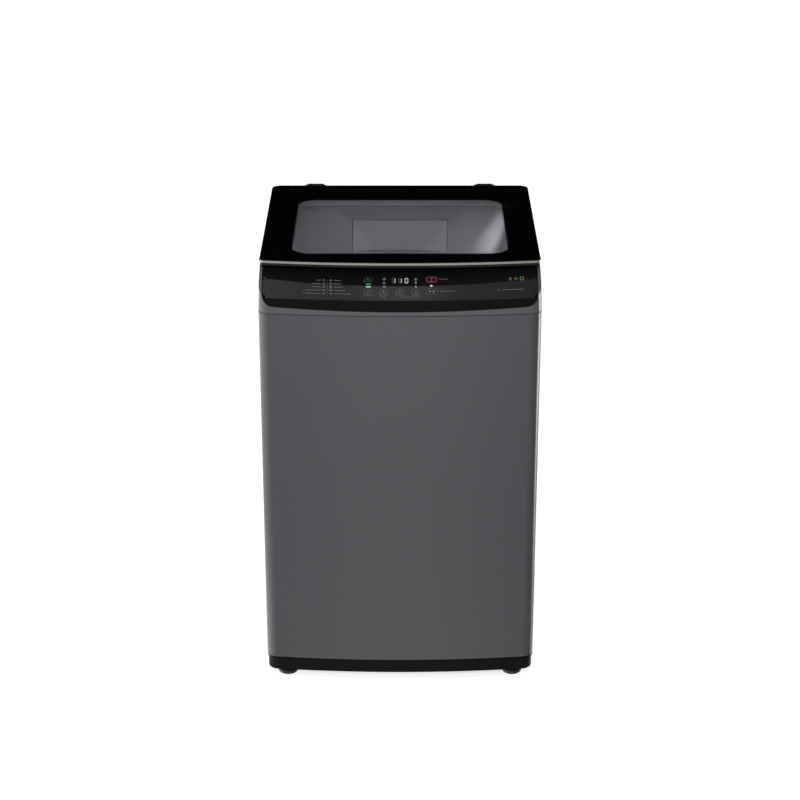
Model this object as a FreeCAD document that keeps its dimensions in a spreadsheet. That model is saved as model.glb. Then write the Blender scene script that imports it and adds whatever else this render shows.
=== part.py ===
"""Top load washing machine, built as a parametric FreeCAD document.

Frame: facing the machine's bowed front, +X is to the right, +Y to the rear and +Z up. The origin
is on the floor, under the middle of the overall box.
All sizes are millimetres and degrees and live in the sheet called Sizes.
"""
import FreeCAD, Part
import math
import os
import re
import Sketcher
from FreeCAD import Placement, Rotation, Vector

# ---------------------------------------------------------------- driving dimensions
SIZES = {
    # whole machine
    "width": 560,
    "depth": 570,
    "front_bow": 17.5,
    "front_radius": 26,
    "rear_radius": 14,
    "cabinet_setback": 3,
    "sheet": 1.2,
    "foot_height": 21.5,
    "base_height": 26,
    "seam_level": 815,
    "fit_gap": 0.3,
    "running_gap": 0.05,
    # base frame and feet
    "base_inset": 2.5,
    "base_wall": 4,
    "base_rail": 42,
    "base_opening_radius": 60,
    "foot_side": 43,
    "foot_inset": 49.5,
    "foot_radius": 21,
    "foot_pad": 9,
    "foot_boss": 30,
    "stud_radius": 5,
    "nut_radius": 9,
    "nut_height": 6,
    "foot_travel": 12,
    "stud_grip": 24,
    # cabinet
    "hem_width": 16,
    "window_side": 50,
    "window_lift": 32.5,
    "window_drop": 30,
    "panel_lap": 14,
    "panel_dish": 12,
    "screw_radius": 4,
    "screw_head": 2.4,
    # top frame and lid plane
    "gasket_height": 1.6,
    "gasket_inset": 1.6,
    "gasket_width": 7,
    "frame_wall": 6,
    "rim_taper": 4,
    "deck_thickness": 3,
    "ledge_depth": 9,
    "hinge_height": 12,
    "crown_height": 105,
    "hinge_setback": 20.5,
    "lid_tilt": 2,
    "lid_rise": 7,
    "lid_thickness": 10,
    "lid_gap": 2,
    "lid_side_gap": 2,
    "lid_back_gap": 10,
    "lid_setback": 46,
    "lid_front_radius": 10,
    "lid_rear_radius": 20,
    "glass": 4,
    "trim_height": 5.5,
    "trim_depth": 4,
    "lip_setback": 2.2,
    "sight_side": 57.5,
    "sight_front": 54,
    "sight_rear": 84.5,
    "sight_radius": 42,
    "skirt": 3,
    "skirt_depth": 7,
    "hinge_side": 96,
    "barrel_radius": 7.5,
    "barrel_half_width": 17.5,
    "ear_radius": 5.5,
    "ear_thickness": 4,
    "pin_radius": 2.5,
    "arm_length": 40,
    "bumper_radius": 6,
    # throat
    "throat_side": 50,
    "throat_front": 77,
    "throat_back": 80.5,
    "throat_radius": 62,
    "throat_wall": 3,
    "throat_flange": 10,
    # console
    "console_side": 8.5,
    "console_depth": 80,
    "console_corner": 24,
    "console_lift": 9,
    "console_smile": 7.5,
    "step_rise": 11,
    "step_depth": 1.2,
    "face_rise": 13,
    "slope_top_drop": 24,
    "slope_tuck": 4.5,
    "bezel_wall": 3,
    "bezel_land": 11,
    "panel_glass": 1.8,
    "panel_side": 7.5,
    "board_half_width": 92,
    "board_length": 44,
    "board_thickness": 1.6,
    "module_half_width": 75,
    "module_depth": 38,
    "module_height": 30,
    # detergent drawer
    "drawer_half_width": 102,
    "drawer_drop": 19,
    "drawer_height": 67,
    "drawer_gap": 1.2,
    "drawer_wall": 2,
    "drawer_travel": 48,
    "drawer_hold": 6,
    "housing_wall": 2.5,
    # wash tub
    "tub_side_room": 28,
    "tub_rear_room": 33,
    "tub_taper": 6,
    "tub_wall": 3,
    "drive_room": 167.5,
    "tub_drop": 73,
    "tub_floor": 6,
    "ring_height": 8,
    "ring_lip": 46,
    "bounce": 12,
    "bounce_room": 6,
    "rod_inset": 30,
    "rod_radius": 4,
    "spring_room": 100,
    "bracket_drop": 15,
    "bracket_height": 12,
    "cap_radius": 18,
    "cap_height": 10,
    "spring_radius": 15,
    "spring_wire": 3.2,
    "spring_turns": 7,
    "ear_lift": 35,
    "ear_height": 12,
    "cup_height": 14,
    # basket
    "basket_room": 24,
    "basket_sheet": 1.2,
    "basket_lift": 23,
    "basket_drop": 6,
    "balance_room": 16,
    "balance_width": 36,
    "balance_height": 36,
    "hub_floor": 8,
    "filter_depth": 13.8,
    "filter_half_width": 36,
    "flange_height": 10,
    "flange_end": 28,
    # pulsator and drive
    "pulsator_room": 60,
    "pulsator_lift": 12,
    "pulsator_height": 20,
    "vane_height": 26,
    "wash_shaft_radius": 9,
    "spin_shaft_radius": 16,
    "gearbox_radius": 62,
    "gearbox_height": 82,
    "plate_thickness": 3,
    "plate_drop": 8,
    "plate_half_width": 90,
    "plate_left_end": 46,
    "plate_right_end": 34,
    "pulley_radius": 76,
    "pulley_drop": 30,
    "pulley_height": 14,
    "motor_offset": 142,
    "motor_radius": 60,
    "motor_height": 82,
    "motor_shaft_radius": 7,
    "motor_pulley_radius": 30,
    "belt_thickness": 5,
    # water and power
    "inlet_side": 102,
    "inlet_drop": 52,
    "inlet_radius": 13.2,
    "inlet_length": 18,
    "inlet_recess": 23,
    "pump_inset": 102,
    "pump_drop": 108,
    "pump_radius": 31,
    "spigot_radius": 11,
    "spigot_length": 14,
    "hose_room": 3,
    "hose_radius": 14,
    "gland_side": 80,
    "gland_drop": 95,
    "gland_radius": 9,
    "cord_radius": 4.5,
}

# sizes and places that follow from the driving dimensions
PLACES = {
    "lid_half_width": "(width/2-lid_side_gap)",
    "lid_length": "(depth-hinge_setback-lid_back_gap-lid_setback)",
    "sight_half_width": "(lid_half_width-sight_side)",
    "throat_half_width": "(lid_half_width-throat_side)",
    "throat_rear": "(depth-front_bow-throat_back)",
    "throat_mouth": "balance_inner",
    "console_half_width": "(width/2-console_side)",
    "panel_half_width": "(console_half_width-panel_side)",
    "hinge_level": "(seam_level+crown_height)",
    "rear_deck_level": "(hinge_level-hinge_height)",
    "console_floor": "(seam_level+console_lift)",
    "step_level": "(console_floor+step_rise)",
    "slope_foot_level": "(step_level+face_rise)",
    "slope_top_level": "(hinge_level-slope_top_drop)",
    "slope_top_setback": "(lid_setback+slope_tuck)",
    "tub_radius": "(min(width/2-tub_side_room; depth/2-tub_rear_room))",
    "tub_foot_radius": "(tub_radius-tub_taper)",
    "tub_low": "(foot_height+base_height+drive_room)",
    "tub_high": "(seam_level-tub_drop)",
    "ring_inner": "(tub_radius-ring_lip)",
    "rod_place": "(tub_radius-rod_inset)",
    "rod_low": "(ear_level-spring_room)",
    "bracket_level": "(seam_level-bracket_drop)",
    "ear_level": "(tub_low+ear_lift)",
    "basket_radius": "(tub_radius-basket_room)",
    "basket_low": "(tub_low+basket_lift)",
    "basket_high": "(tub_high-basket_drop-balance_height)",
    "balance_outer": "(tub_radius-balance_room)",
    "balance_inner": "(balance_outer-balance_width)",
    "flange_arm": "(basket_radius-flange_end)",
    "pulsator_radius": "(basket_radius-pulsator_room)",
    "pulsator_low": "(basket_low+pulsator_lift)",
    "gearbox_low": "(tub_low-plate_drop-plate_thickness-gearbox_height)",
    "pulley_low": "(gearbox_low-pulley_drop)",
    "plate_left": "(tub_foot_radius-plate_left_end)",
    "plate_right": "(tub_foot_radius-plate_right_end)",
    "foot_x": "(width/2-foot_side)",
    "hinge_x": "(width/2-hinge_side)",
    "window_half_width": "(width/2-window_side)",
    "window_low": "(foot_height+base_height+window_lift)",
    "window_high": "(seam_level-window_drop)",
    "inlet_x": "(width/2-inlet_side)",
    "inlet_level": "(hinge_level-inlet_drop)",
    "gland_x": "(width/2-gland_side)",
    "gland_level": "(seam_level-gland_drop)",
    "drawer_low": "(seam_level-drawer_drop)",
    "drawer_high": "(drawer_low+drawer_height)",
    "pump_x": "(tub_radius-pump_inset)",
    "pump_y": "(tub_radius-pump_inset)",
    "pump_level": "(tub_low-pump_drop)",
}

# longer places, as formulas
HALF = "(width/2)"
FRONT = "(-depth/2)"
REAR = "(depth/2)"
CABINET_REAR = "(depth/2-cabinet_setback)"
BOW = "((width^2/4+front_bow^2)/(2*front_bow))"
BOW_CENTRE = f"({FRONT}+{BOW})"
CORNER = f"({FRONT}+front_bow)"
BASE_TOP = "(foot_height+base_height)"
FRAME_LOW = "(seam_level+gasket_height)"
HINGE_Y = "(depth/2-hinge_setback)"
FOOT_FRONT = f"({FRONT}+foot_inset)"
FOOT_REAR = "(depth/2-foot_inset+3)"
RIM = "(lid_rise-lid_thickness-lid_gap)"
LEDGE = f"({RIM}-ledge_depth)"
LID_LOW = "(lid_rise-lid_thickness)"
GLASS_LOW = "(lid_rise-glass)"
LID_FRONT = "(-lid_back_gap-lid_length)"
LID_BOW = f"({BOW}-({HINGE_Y}+{LID_FRONT}-{FRONT}))"
SIGHT_FRONT = f"({LID_FRONT}+sight_front)"
SIGHT_REAR = "(-lid_back_gap-sight_rear)"
THROAT_LOW = "(tub_high+ring_height+bounce+bounce_room)"
PLATE_TOP = "(tub_low-plate_drop)"
PLATE_LOW = f"({PLATE_TOP}-plate_thickness)"
TALL = "(hinge_level+80)"
ARCS_A_TURN = 8

doc = FreeCAD.newDocument("TopLoadWasher")
sheet = doc.addObject("Spreadsheet::Sheet", "Sizes")
for row, (alias, size) in enumerate(SIZES.items(), 1):
    sheet.set(f"A{row}", alias)
    sheet.set(f"B{row}", str(size))
    sheet.setAlias(f"B{row}", alias)
doc.recompute()

NODES = {}


# ---------------------------------------------------------------- sheet helpers
def formula(text):
    """Write out the places in a formula and put the sheet's name before each of its aliases."""
    def spelled(word):
        if word[0] in PLACES:
            return formula(PLACES[word[0]])
        return f"Sizes.{word[0]}" if word[0] in SIZES else word[0]
    return re.sub(r"[a-z]\w*", spelled, text)


def value(text):
    """Work a formula out as a plain number."""
    result = sheet.evalExpression(formula(text))
    return float(getattr(result, "Value", result))


def bind(item, formulas):
    """Bind the properties of an object to formulas of the sheet."""
    for name, text in formulas.items():
        item.setExpression(name, formula(text))


def sub_part(node, item):
    """Register a finished sub-part under its node name."""
    item.Label = node
    NODES[node] = item
    return item


# ---------------------------------------------------------------- Part helpers
def block(name, x, y, z):
    """A box between two formulas along each axis."""
    box = doc.addObject("Part::Box", name)
    for size, place, (low, high) in zip(("Length", "Width", "Height"), "xyz", (x, y, z)):
        bind(box, {size: f"({high})-({low})", f"Placement.Base.{place}": low})
    return box


def rod(name, radius, x, y, z, turn=None):
    """A cylinder along Z from a low to a high formula; turn lays it along X or Y."""
    bar = doc.addObject("Part::Cylinder", name)
    low, high = {"X": x, "Y": y, None: z}[turn]
    bind(bar, {"Radius": radius, "Height": f"({high})-({low})"})
    place = {"x": x, "y": y, "z": z}
    place[{"X": "x", "Y": "y", None: "z"}[turn]] = low
    if turn == "X":
        bar.Placement = Placement(Vector(), Rotation(Vector(0, 1, 0), 90))
    if turn == "Y":
        bar.Placement = Placement(Vector(), Rotation(Vector(1, 0, 0), -90))
    bind(bar, {f"Placement.Base.{axis}": text for axis, text in place.items()})
    return bar


def cut(name, base, *tools):
    """Cut tools from a base, one after the other."""
    for count, tool in enumerate(tools, 1):
        result = doc.addObject("Part::Cut", name if count == len(tools) else f"{name}_stage_{count}")
        result.Base = base
        result.Tool = tool
        base = result
    return base


def fuse(name, *items):
    """Join several solids into one."""
    result = doc.addObject("Part::MultiFuse", name)
    result.Shapes = list(items)
    result.Refine = True
    return result


def common(name, *items):
    """Keep what several solids share."""
    result = doc.addObject("Part::MultiCommon", name)
    result.Shapes = list(items)
    return result


def group(name, *items):
    """Keep several separate solids together in one sub-part."""
    result = doc.addObject("Part::Compound", name)
    result.Links = list(items)
    return result


def both_sides(name, make):
    """Make a thing twice, at the left and at the right, with the sign as a formula prefix."""
    return [make(f"{name}_{side}", sign) for side, sign in (("left", "-"), ("right", ""))]


# ---------------------------------------------------------------- PartDesign helpers
def new_body(name):
    return doc.addObject("PartDesign::Body", name)


def sketch_on(body, name, role="XY_Plane", lift="0", shift="0"):
    """A sketch on one of the body's own origin planes, moved along its normal or its first axis."""
    sketch = body.newObject("Sketcher::SketchObject", name)
    plane = next(feature for feature in body.Origin.OriginFeatures if feature.Role == role)
    sketch.AttachmentSupport = [(plane, "")]
    sketch.MapMode = "FlatFace"
    bind(sketch, {"AttachmentOffset.Base.z": lift, "AttachmentOffset.Base.x": shift})
    return sketch


def dimension(sketch, kind, *details):
    """Add a constraint whose last detail is a formula."""
    *where, text = details
    index = sketch.addConstraint(Sketcher.Constraint(kind, *where, value(text)))
    sketch.setExpression(f"Constraints[{index}]", formula(text))


def polygon(sketch, points):
    """A closed outline of straight edges through corners given as formulas."""
    corners = [Vector(value(x), value(y), 0) for x, y in points]
    first = sketch.GeometryCount
    for here, there in zip(corners, corners[1:] + corners[:1]):
        sketch.addGeometry(Part.LineSegment(here, there), False)
    for step, (x, y) in enumerate(points):
        edge = first + step
        following = first + (step + 1) % len(points)
        sketch.addConstraint(Sketcher.Constraint("Coincident", edge, 2, following, 1))
        dimension(sketch, "DistanceX", -1, 1, edge, 1, x)
        dimension(sketch, "DistanceY", -1, 1, edge, 1, y)
    return sketch


def corner_arc(x, y, radius, start, end):
    circle = Part.Circle(Vector(x, y, 0), Vector(0, 0, 1), radius)
    return Part.ArcOfCircle(circle, math.radians(start), math.radians(end))


def rounded(sketch, half, low, high, radius):
    """A rounded rectangle about the sketch's vertical axis."""
    width, bottom, top, round_off = (value(text) for text in (half, low, high, radius))
    inner = width - round_off
    first = sketch.GeometryCount
    edges = [
        Part.LineSegment(Vector(width, bottom + round_off, 0), Vector(width, top - round_off, 0)),
        corner_arc(inner, top - round_off, round_off, 0, 90),
        Part.LineSegment(Vector(inner, top, 0), Vector(-inner, top, 0)),
        corner_arc(-inner, top - round_off, round_off, 90, 180),
        Part.LineSegment(Vector(-width, top - round_off, 0), Vector(-width, bottom + round_off, 0)),
        corner_arc(-inner, bottom + round_off, round_off, 180, 270),
        Part.LineSegment(Vector(-inner, bottom, 0), Vector(inner, bottom, 0)),
        corner_arc(inner, bottom + round_off, round_off, 270, 360),
    ]
    for edge in edges:
        sketch.addGeometry(edge, False)
    for step in range(len(edges)):
        following = first + (step + 1) % len(edges)
        sketch.addConstraint(Sketcher.Constraint("Tangent", first + step, 2, following, 1))
    for upright in (0, 4):
        sketch.addConstraint(Sketcher.Constraint("Vertical", first + upright))
    for level in (2, 6):
        sketch.addConstraint(Sketcher.Constraint("Horizontal", first + level))
    for arc in (3, 5, 7):
        sketch.addConstraint(Sketcher.Constraint("Equal", first + 1, first + arc))
    dimension(sketch, "DistanceX", -1, 1, first, 1, half)
    dimension(sketch, "DistanceX", -1, 1, first + 4, 1, f"-({half})")
    dimension(sketch, "DistanceY", -1, 1, first + 2, 1, high)
    dimension(sketch, "DistanceY", -1, 1, first + 6, 1, low)
    dimension(sketch, "Radius", first + 1, radius)
    return sketch


def bowed(sketch, half, front, rear, bow, front_radius, rear_radius):
    """The machine's plan: straight sides and rear, rounded corners and a front bowed outward."""
    side, low, high, swell, near, far = (
        value(text) for text in (half, front, rear, bow, front_radius, rear_radius))
    centre = low + swell
    arc_y = centre - math.sqrt((swell - near) ** 2 - (side - near) ** 2)
    reach = swell / (swell - near)
    touch = Vector((side - near) * reach, centre - (centre - arc_y) * reach, 0)
    start = math.degrees(math.atan2(touch.y - arc_y, touch.x - (side - near)))
    sweep = math.degrees(math.atan2(touch.x, centre - touch.y))
    edges = [
        Part.LineSegment(Vector(side, arc_y, 0), Vector(side, high - far, 0)),
        corner_arc(side - far, high - far, far, 0, 90),
        Part.LineSegment(Vector(side - far, high, 0), Vector(far - side, high, 0)),
        corner_arc(far - side, high - far, far, 90, 180),
        Part.LineSegment(Vector(-side, high - far, 0), Vector(-side, arc_y, 0)),
        corner_arc(near - side, arc_y, near, 180, 180 - start),
        corner_arc(0, centre, swell, 270 - sweep, 270 + sweep),
        corner_arc(side - near, arc_y, near, start, 0),
    ]
    for edge in edges:
        sketch.addGeometry(edge, False)
    for step in range(len(edges)):
        sketch.addConstraint(Sketcher.Constraint("Tangent", step, 2, (step + 1) % len(edges), 1))
    sketch.addConstraint(Sketcher.Constraint("Vertical", 0))
    sketch.addConstraint(Sketcher.Constraint("Vertical", 4))
    sketch.addConstraint(Sketcher.Constraint("Horizontal", 2))
    sketch.addConstraint(Sketcher.Constraint("PointOnObject", 6, 3, -2))
    sketch.addConstraint(Sketcher.Constraint("Equal", 1, 3))
    sketch.addConstraint(Sketcher.Constraint("Equal", 5, 7))
    dimension(sketch, "DistanceX", -1, 1, 0, 1, half)
    dimension(sketch, "DistanceX", -1, 1, 4, 1, f"-({half})")
    dimension(sketch, "DistanceY", -1, 1, 2, 1, rear)
    dimension(sketch, "DistanceY", -1, 1, 6, 3, f"({front})+({bow})")
    dimension(sketch, "Radius", 6, bow)
    dimension(sketch, "Radius", 7, front_radius)
    dimension(sketch, "Radius", 1, rear_radius)
    return sketch


def cabinet_plan(sketch, inset="0", rear=CABINET_REAR):
    """The cabinet's plan, drawn inset from its outer face."""
    return bowed(sketch, f"({HALF}-({inset}))", f"({FRONT}+({inset}))", f"({rear}-({inset}))",
                 f"({BOW}-({inset}))", f"max(front_radius-({inset}); 2)", f"max(rear_radius-({inset}); 2)")


def pad(body, sketch, length, middle=False):
    feature = body.newObject("PartDesign::Pad", f"{sketch.Name}_pad")
    feature.Profile = sketch
    feature.Midplane = middle
    bind(feature, {"Length": length})
    return feature


def pocket(body, sketch, length, middle=False, upward=True):
    """Cut a sketch out of the body, along the sketch's normal or about its plane."""
    feature = body.newObject("PartDesign::Pocket", f"{sketch.Name}_pocket")
    feature.Profile = sketch
    feature.Midplane = middle
    feature.Reversed = upward
    bind(feature, {"Length": length})
    return feature


def turned(name, points):
    """A body turned about the vertical axis from a profile of (radius, level) formulas."""
    body = new_body(name)
    sketch = polygon(sketch_on(body, f"{name}_profile", "XZ_Plane"), points)
    feature = body.newObject("PartDesign::Revolution", f"{name}_turn")
    feature.Profile = sketch
    feature.ReferenceAxis = (sketch, ["V_Axis"])
    feature.Angle = 360
    return body


def bow_swept(name, points, reach):
    """A profile of (setback from the bowed front, level) formulas, swept round the bow."""
    body = new_body(name)
    sketch = sketch_on(body, f"{name}_profile", "YZ_Plane", shift=BOW_CENTRE)
    polygon(sketch, [(f"(({setback})-{BOW})", level) for setback, level in points])
    feature = body.newObject("PartDesign::Revolution", f"{name}_sweep")
    feature.Profile = sketch
    feature.ReferenceAxis = (sketch, ["V_Axis"])
    feature.Midplane = True
    bind(feature, {"Angle": f"2*asin(({reach})/({BOW}-console_depth))"})
    return body


def prism(name, role, points, length, middle=True):
    """A straight-edged outline padded about its plane."""
    body = new_body(name)
    pad(body, polygon(sketch_on(body, f"{name}_outline", role), points), length, middle)
    return body


def in_lid_frame(item):
    """Place a body in the lid's own frame: its origin on the hinge axis, tilted with the lid."""
    item.Placement = Placement(Vector(), Rotation(Vector(1, 0, 0), value("lid_tilt")))
    bind(item, {"Placement.Base.y": HINGE_Y, "Placement.Base.z": "hinge_level",
                "Placement.Rotation.Angle": "lid_tilt"})
    return item


def side_loft(name, low_inset, high_inset, low, high):
    """The top frame's tapering mass between two levels, from plans inset by two formulas."""
    body = new_body(name)
    loft = body.newObject("PartDesign::AdditiveLoft", f"{name}_loft")
    base = cabinet_plan(sketch_on(body, f"{name}_base", lift=low), low_inset, REAR)
    crown = cabinet_plan(sketch_on(body, f"{name}_crown", lift=high), high_inset, REAR)
    loft.Profile = base
    loft.Sections = [crown]
    body.Tip = loft
    return body


# ---------------------------------------------------------------- base frame and feet
def base_frame():
    body = new_body("BaseFrame")
    outline = cabinet_plan(sketch_on(body, "base_outline", lift="foot_height"), "base_inset")
    pad(body, outline, "base_height")
    hollow = cabinet_plan(sketch_on(body, "base_hollow", lift="foot_height"), "base_inset+base_wall")
    pocket(body, hollow, "base_height-base_wall")
    opening = rounded(sketch_on(body, "base_opening", lift="foot_height"), f"{HALF}-base_rail",
                      f"{CORNER}+base_rail", "depth/2-base_rail-cabinet_setback", "base_opening_radius")
    pocket(body, opening, "base_height+1")
    bosses = []
    for row, y in (("front", FOOT_FRONT), ("rear", FOOT_REAR)):
        bosses += both_sides(f"foot_boss_{row}", lambda name, sign: rod(
            name, "foot_boss", f"{sign}foot_x", y, ("foot_height", BASE_TOP)))
    holes = both_sides("stud_hole", lambda name, sign: rod(
        name, "stud_radius+running_gap", f"{sign}foot_x", FOOT_FRONT, ("foot_height-1", f"{BASE_TOP}+1")))
    sub_part("base_frame", cut("base_drilled", fuse("base_bossed", body, *bosses), *holes))


def foot_profile(top):
    """Profile of a foot pad: a dished rubber disc with a rounded shoulder."""
    return [("0", "0"), ("foot_radius-3", "0"), ("foot_radius", "3"), ("foot_radius", "foot_pad"),
            ("foot_radius-5", "foot_pad+4"), ("stud_radius+5", top), ("0", top)]


def placed(item, x, y, z="0"):
    bind(item, {"Placement.Base.x": x, "Placement.Base.y": y, "Placement.Base.z": z})
    return item


def feet():
    nut_low = "(foot_height-nut_height-fit_gap)"
    for side, sign in (("left", "-"), ("right", "")):
        disc = turned(f"FrontFoot_{side}", foot_profile(nut_low + "-fit_gap"))
        placed(disc, f"{sign}foot_x", FOOT_FRONT)
        sub_part(f"foot_pad_{side}", cut(f"foot_disc_{side}", disc, rod(
            f"foot_socket_{side}", "stud_radius", f"{sign}foot_x", FOOT_FRONT, ("foot_pad", "foot_height"))))
        sub_part(f"foot_stud_{side}", rod(f"FootStud_{side}", "stud_radius", f"{sign}foot_x", FOOT_FRONT,
                                          ("foot_pad", "foot_pad+foot_travel+stud_grip")))
        nut = doc.addObject("Part::Prism", f"LockNut_{side}")
        bind(nut, {"Circumradius": "nut_radius", "Height": "nut_height"})
        placed(nut, f"{sign}foot_x", FOOT_FRONT, nut_low)
        sub_part(f"lock_nut_{side}", cut(f"lock_nut_bored_{side}", nut, rod(
            f"nut_bore_{side}", "stud_radius+running_gap", f"{sign}foot_x", FOOT_FRONT,
            (f"{nut_low}-1", "foot_height+1"))))
    sub_part("rear_feet", group("RearFeet", *both_sides("rear_foot", lambda name, sign: placed(
        turned(name, foot_profile("foot_height")), f"{sign}foot_x", FOOT_REAR))))


# ---------------------------------------------------------------- cabinet
def cabinet():
    body = new_body("CabinetShell")
    tall = f"(seam_level-{BASE_TOP})"
    pad(body, cabinet_plan(sketch_on(body, "shell_outline", lift=BASE_TOP)), tall)
    pocket(body, cabinet_plan(sketch_on(body, "shell_inside", lift=f"{BASE_TOP}+sheet"), "sheet"),
           f"{tall}-2*sheet")
    pocket(body, cabinet_plan(sketch_on(body, "shell_hems", lift=f"{BASE_TOP}-1"), "hem_width"), f"{tall}+2")
    rear_hole = polygon(sketch_on(body, "rear_window", "XZ_Plane", lift=f"-{CABINET_REAR}-1"), [
        ("-window_half_width", "window_low"), ("window_half_width", "window_low"),
        ("window_half_width", "window_high"), ("-window_half_width", "window_high")])
    pocket(body, rear_hole, "hem_width")
    heads = screw_places("shell_screw_hole", "screw_radius", f"{CABINET_REAR}-sheet-1", f"{CABINET_REAR}+1")
    sub_part("cabinet_shell", cut("shell_drilled", body, *heads))


def screw_places(name, radius, low, high):
    """The eight places round the rear window where the rear panel is screwed on."""
    levels = ("window_low+30", "(window_low+window_high)/2-120", "(window_low+window_high)/2+120",
              "window_high-30")
    bars = []
    for count, level in enumerate(levels):
        for side, sign in (("left", "-"), ("right", "")):
            bars.append(rod(f"{name}_{side}_{count}", radius, f"{sign}(window_half_width+panel_lap/2)",
                            (low, high), level, "Y"))
    return bars


def rear_panel():
    inner_face = f"({CABINET_REAR}-sheet)"
    lap = [f"{inner_face}-sheet", inner_face]
    flange = block("panel_flange", ("-window_half_width-panel_lap", "window_half_width+panel_lap"), lap,
                   ("window_low-panel_lap", "window_high+panel_lap"))
    tray = block("panel_tray", ("-window_half_width+10", "window_half_width-10"),
                 (f"{inner_face}-panel_dish-sheet", inner_face), ("window_low+10", "window_high-10"))
    dish = block("panel_dish_space", ("-window_half_width+10+sheet", "window_half_width-10-sheet"),
                 (f"{inner_face}-panel_dish", f"{inner_face}+1"),
                 ("window_low+10+sheet", "window_high-10-sheet"))
    spigot_hole = rod("panel_spigot_hole", "spigot_radius+hose_room", "-pump_x",
                      (f"{inner_face}-30", f"{inner_face}+5"), "pump_level", "Y")
    gland_hole = rod("panel_gland_hole", "gland_radius", "gland_x",
                     (f"{inner_face}-30", f"{inner_face}+5"), "gland_level", "Y")
    ribs = [block(f"panel_rib_{count}", ("-window_half_width+40", "window_half_width-40"),
                  (f"{inner_face}-panel_dish-sheet", f"{inner_face}-panel_dish+4"),
                  (f"{level}-6", f"{level}+6"))
            for count, level in enumerate(
                ("window_low+130", "(window_low+window_high)/2", "window_high-130"))]
    screws = screw_places("panel_screw_hole", "screw_radius/2", f"{inner_face}-10", f"{inner_face}+5")
    pressed = fuse("panel_pressed", cut("panel_dished", fuse("panel_sheet", flange, tray), dish), *ribs)
    sub_part("rear_panel", cut("panel_drilled", pressed, spigot_hole, gland_hole, *screws))
    sub_part("rear_panel_screws", group("RearPanelScrews", *[
        fuse(f"screw_{count}", head, shank) for count, (head, shank) in enumerate(zip(
            screw_places("screw_head", "screw_radius", inner_face, f"{inner_face}+screw_head"),
            screw_places("screw_shank", "screw_radius/2", f"{inner_face}-9", inner_face)))]))
    ring = [f"{inner_face}-panel_dish-4", f"{inner_face}-panel_dish+3"]
    bush = rod("gland_body", "gland_radius", "gland_x", ring, "gland_level", "Y")
    collar = rod("gland_collar", "gland_radius+4", "gland_x",
                 (f"{inner_face}-panel_dish", f"{inner_face}-panel_dish+3"), "gland_level", "Y")
    bore = rod("gland_bore", "cord_radius", "gland_x", (f"{inner_face}-40", f"{inner_face}+5"),
               "gland_level", "Y")
    sub_part("cord_gland", cut("gland_bored", fuse("gland_solid", bush, collar), bore))


# ---------------------------------------------------------------- top frame
def rim_profile(drop, front, rear):
    """Side outline of what lies above the rim, lowered by a drop, in the lid's frame."""
    return [(front, f"({RIM}-({drop}))"), (rear, f"({RIM}-({drop}))"), (rear, "80"), (front, "80")]


def smile_block(name, half, floor, low_y, high_y, corner):
    """The console's front outline as a block: a lower edge that rises to rounded corners."""
    smile = "((console_half_width^2+console_smile^2)/(2*console_smile))"
    slab = block(f"{name}_slab", (f"-({half})", half), (low_y, high_y), (f"{floor}-1", TALL))
    drum = rod(f"{name}_drum", smile, "0", (low_y, high_y), f"{floor}+{smile}", "Y")
    shaped = common(f"{name}_shaped", slab, drum)
    doc.recompute()
    limit = value(half)
    low_level = value(floor) + 2 * value("console_smile")
    picked = [number for number, edge in enumerate(shaped.Shape.Edges, 1)
              if abs(abs(edge.CenterOfMass.x) - limit) < 0.01 and edge.CenterOfMass.z < low_level
              and edge.Length > 1]
    rounding = doc.addObject("Part::Fillet", name)
    rounding.Base = shaped
    rounding.Edges = [(number, value(corner), value(corner)) for number in picked]
    return rounding


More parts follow.
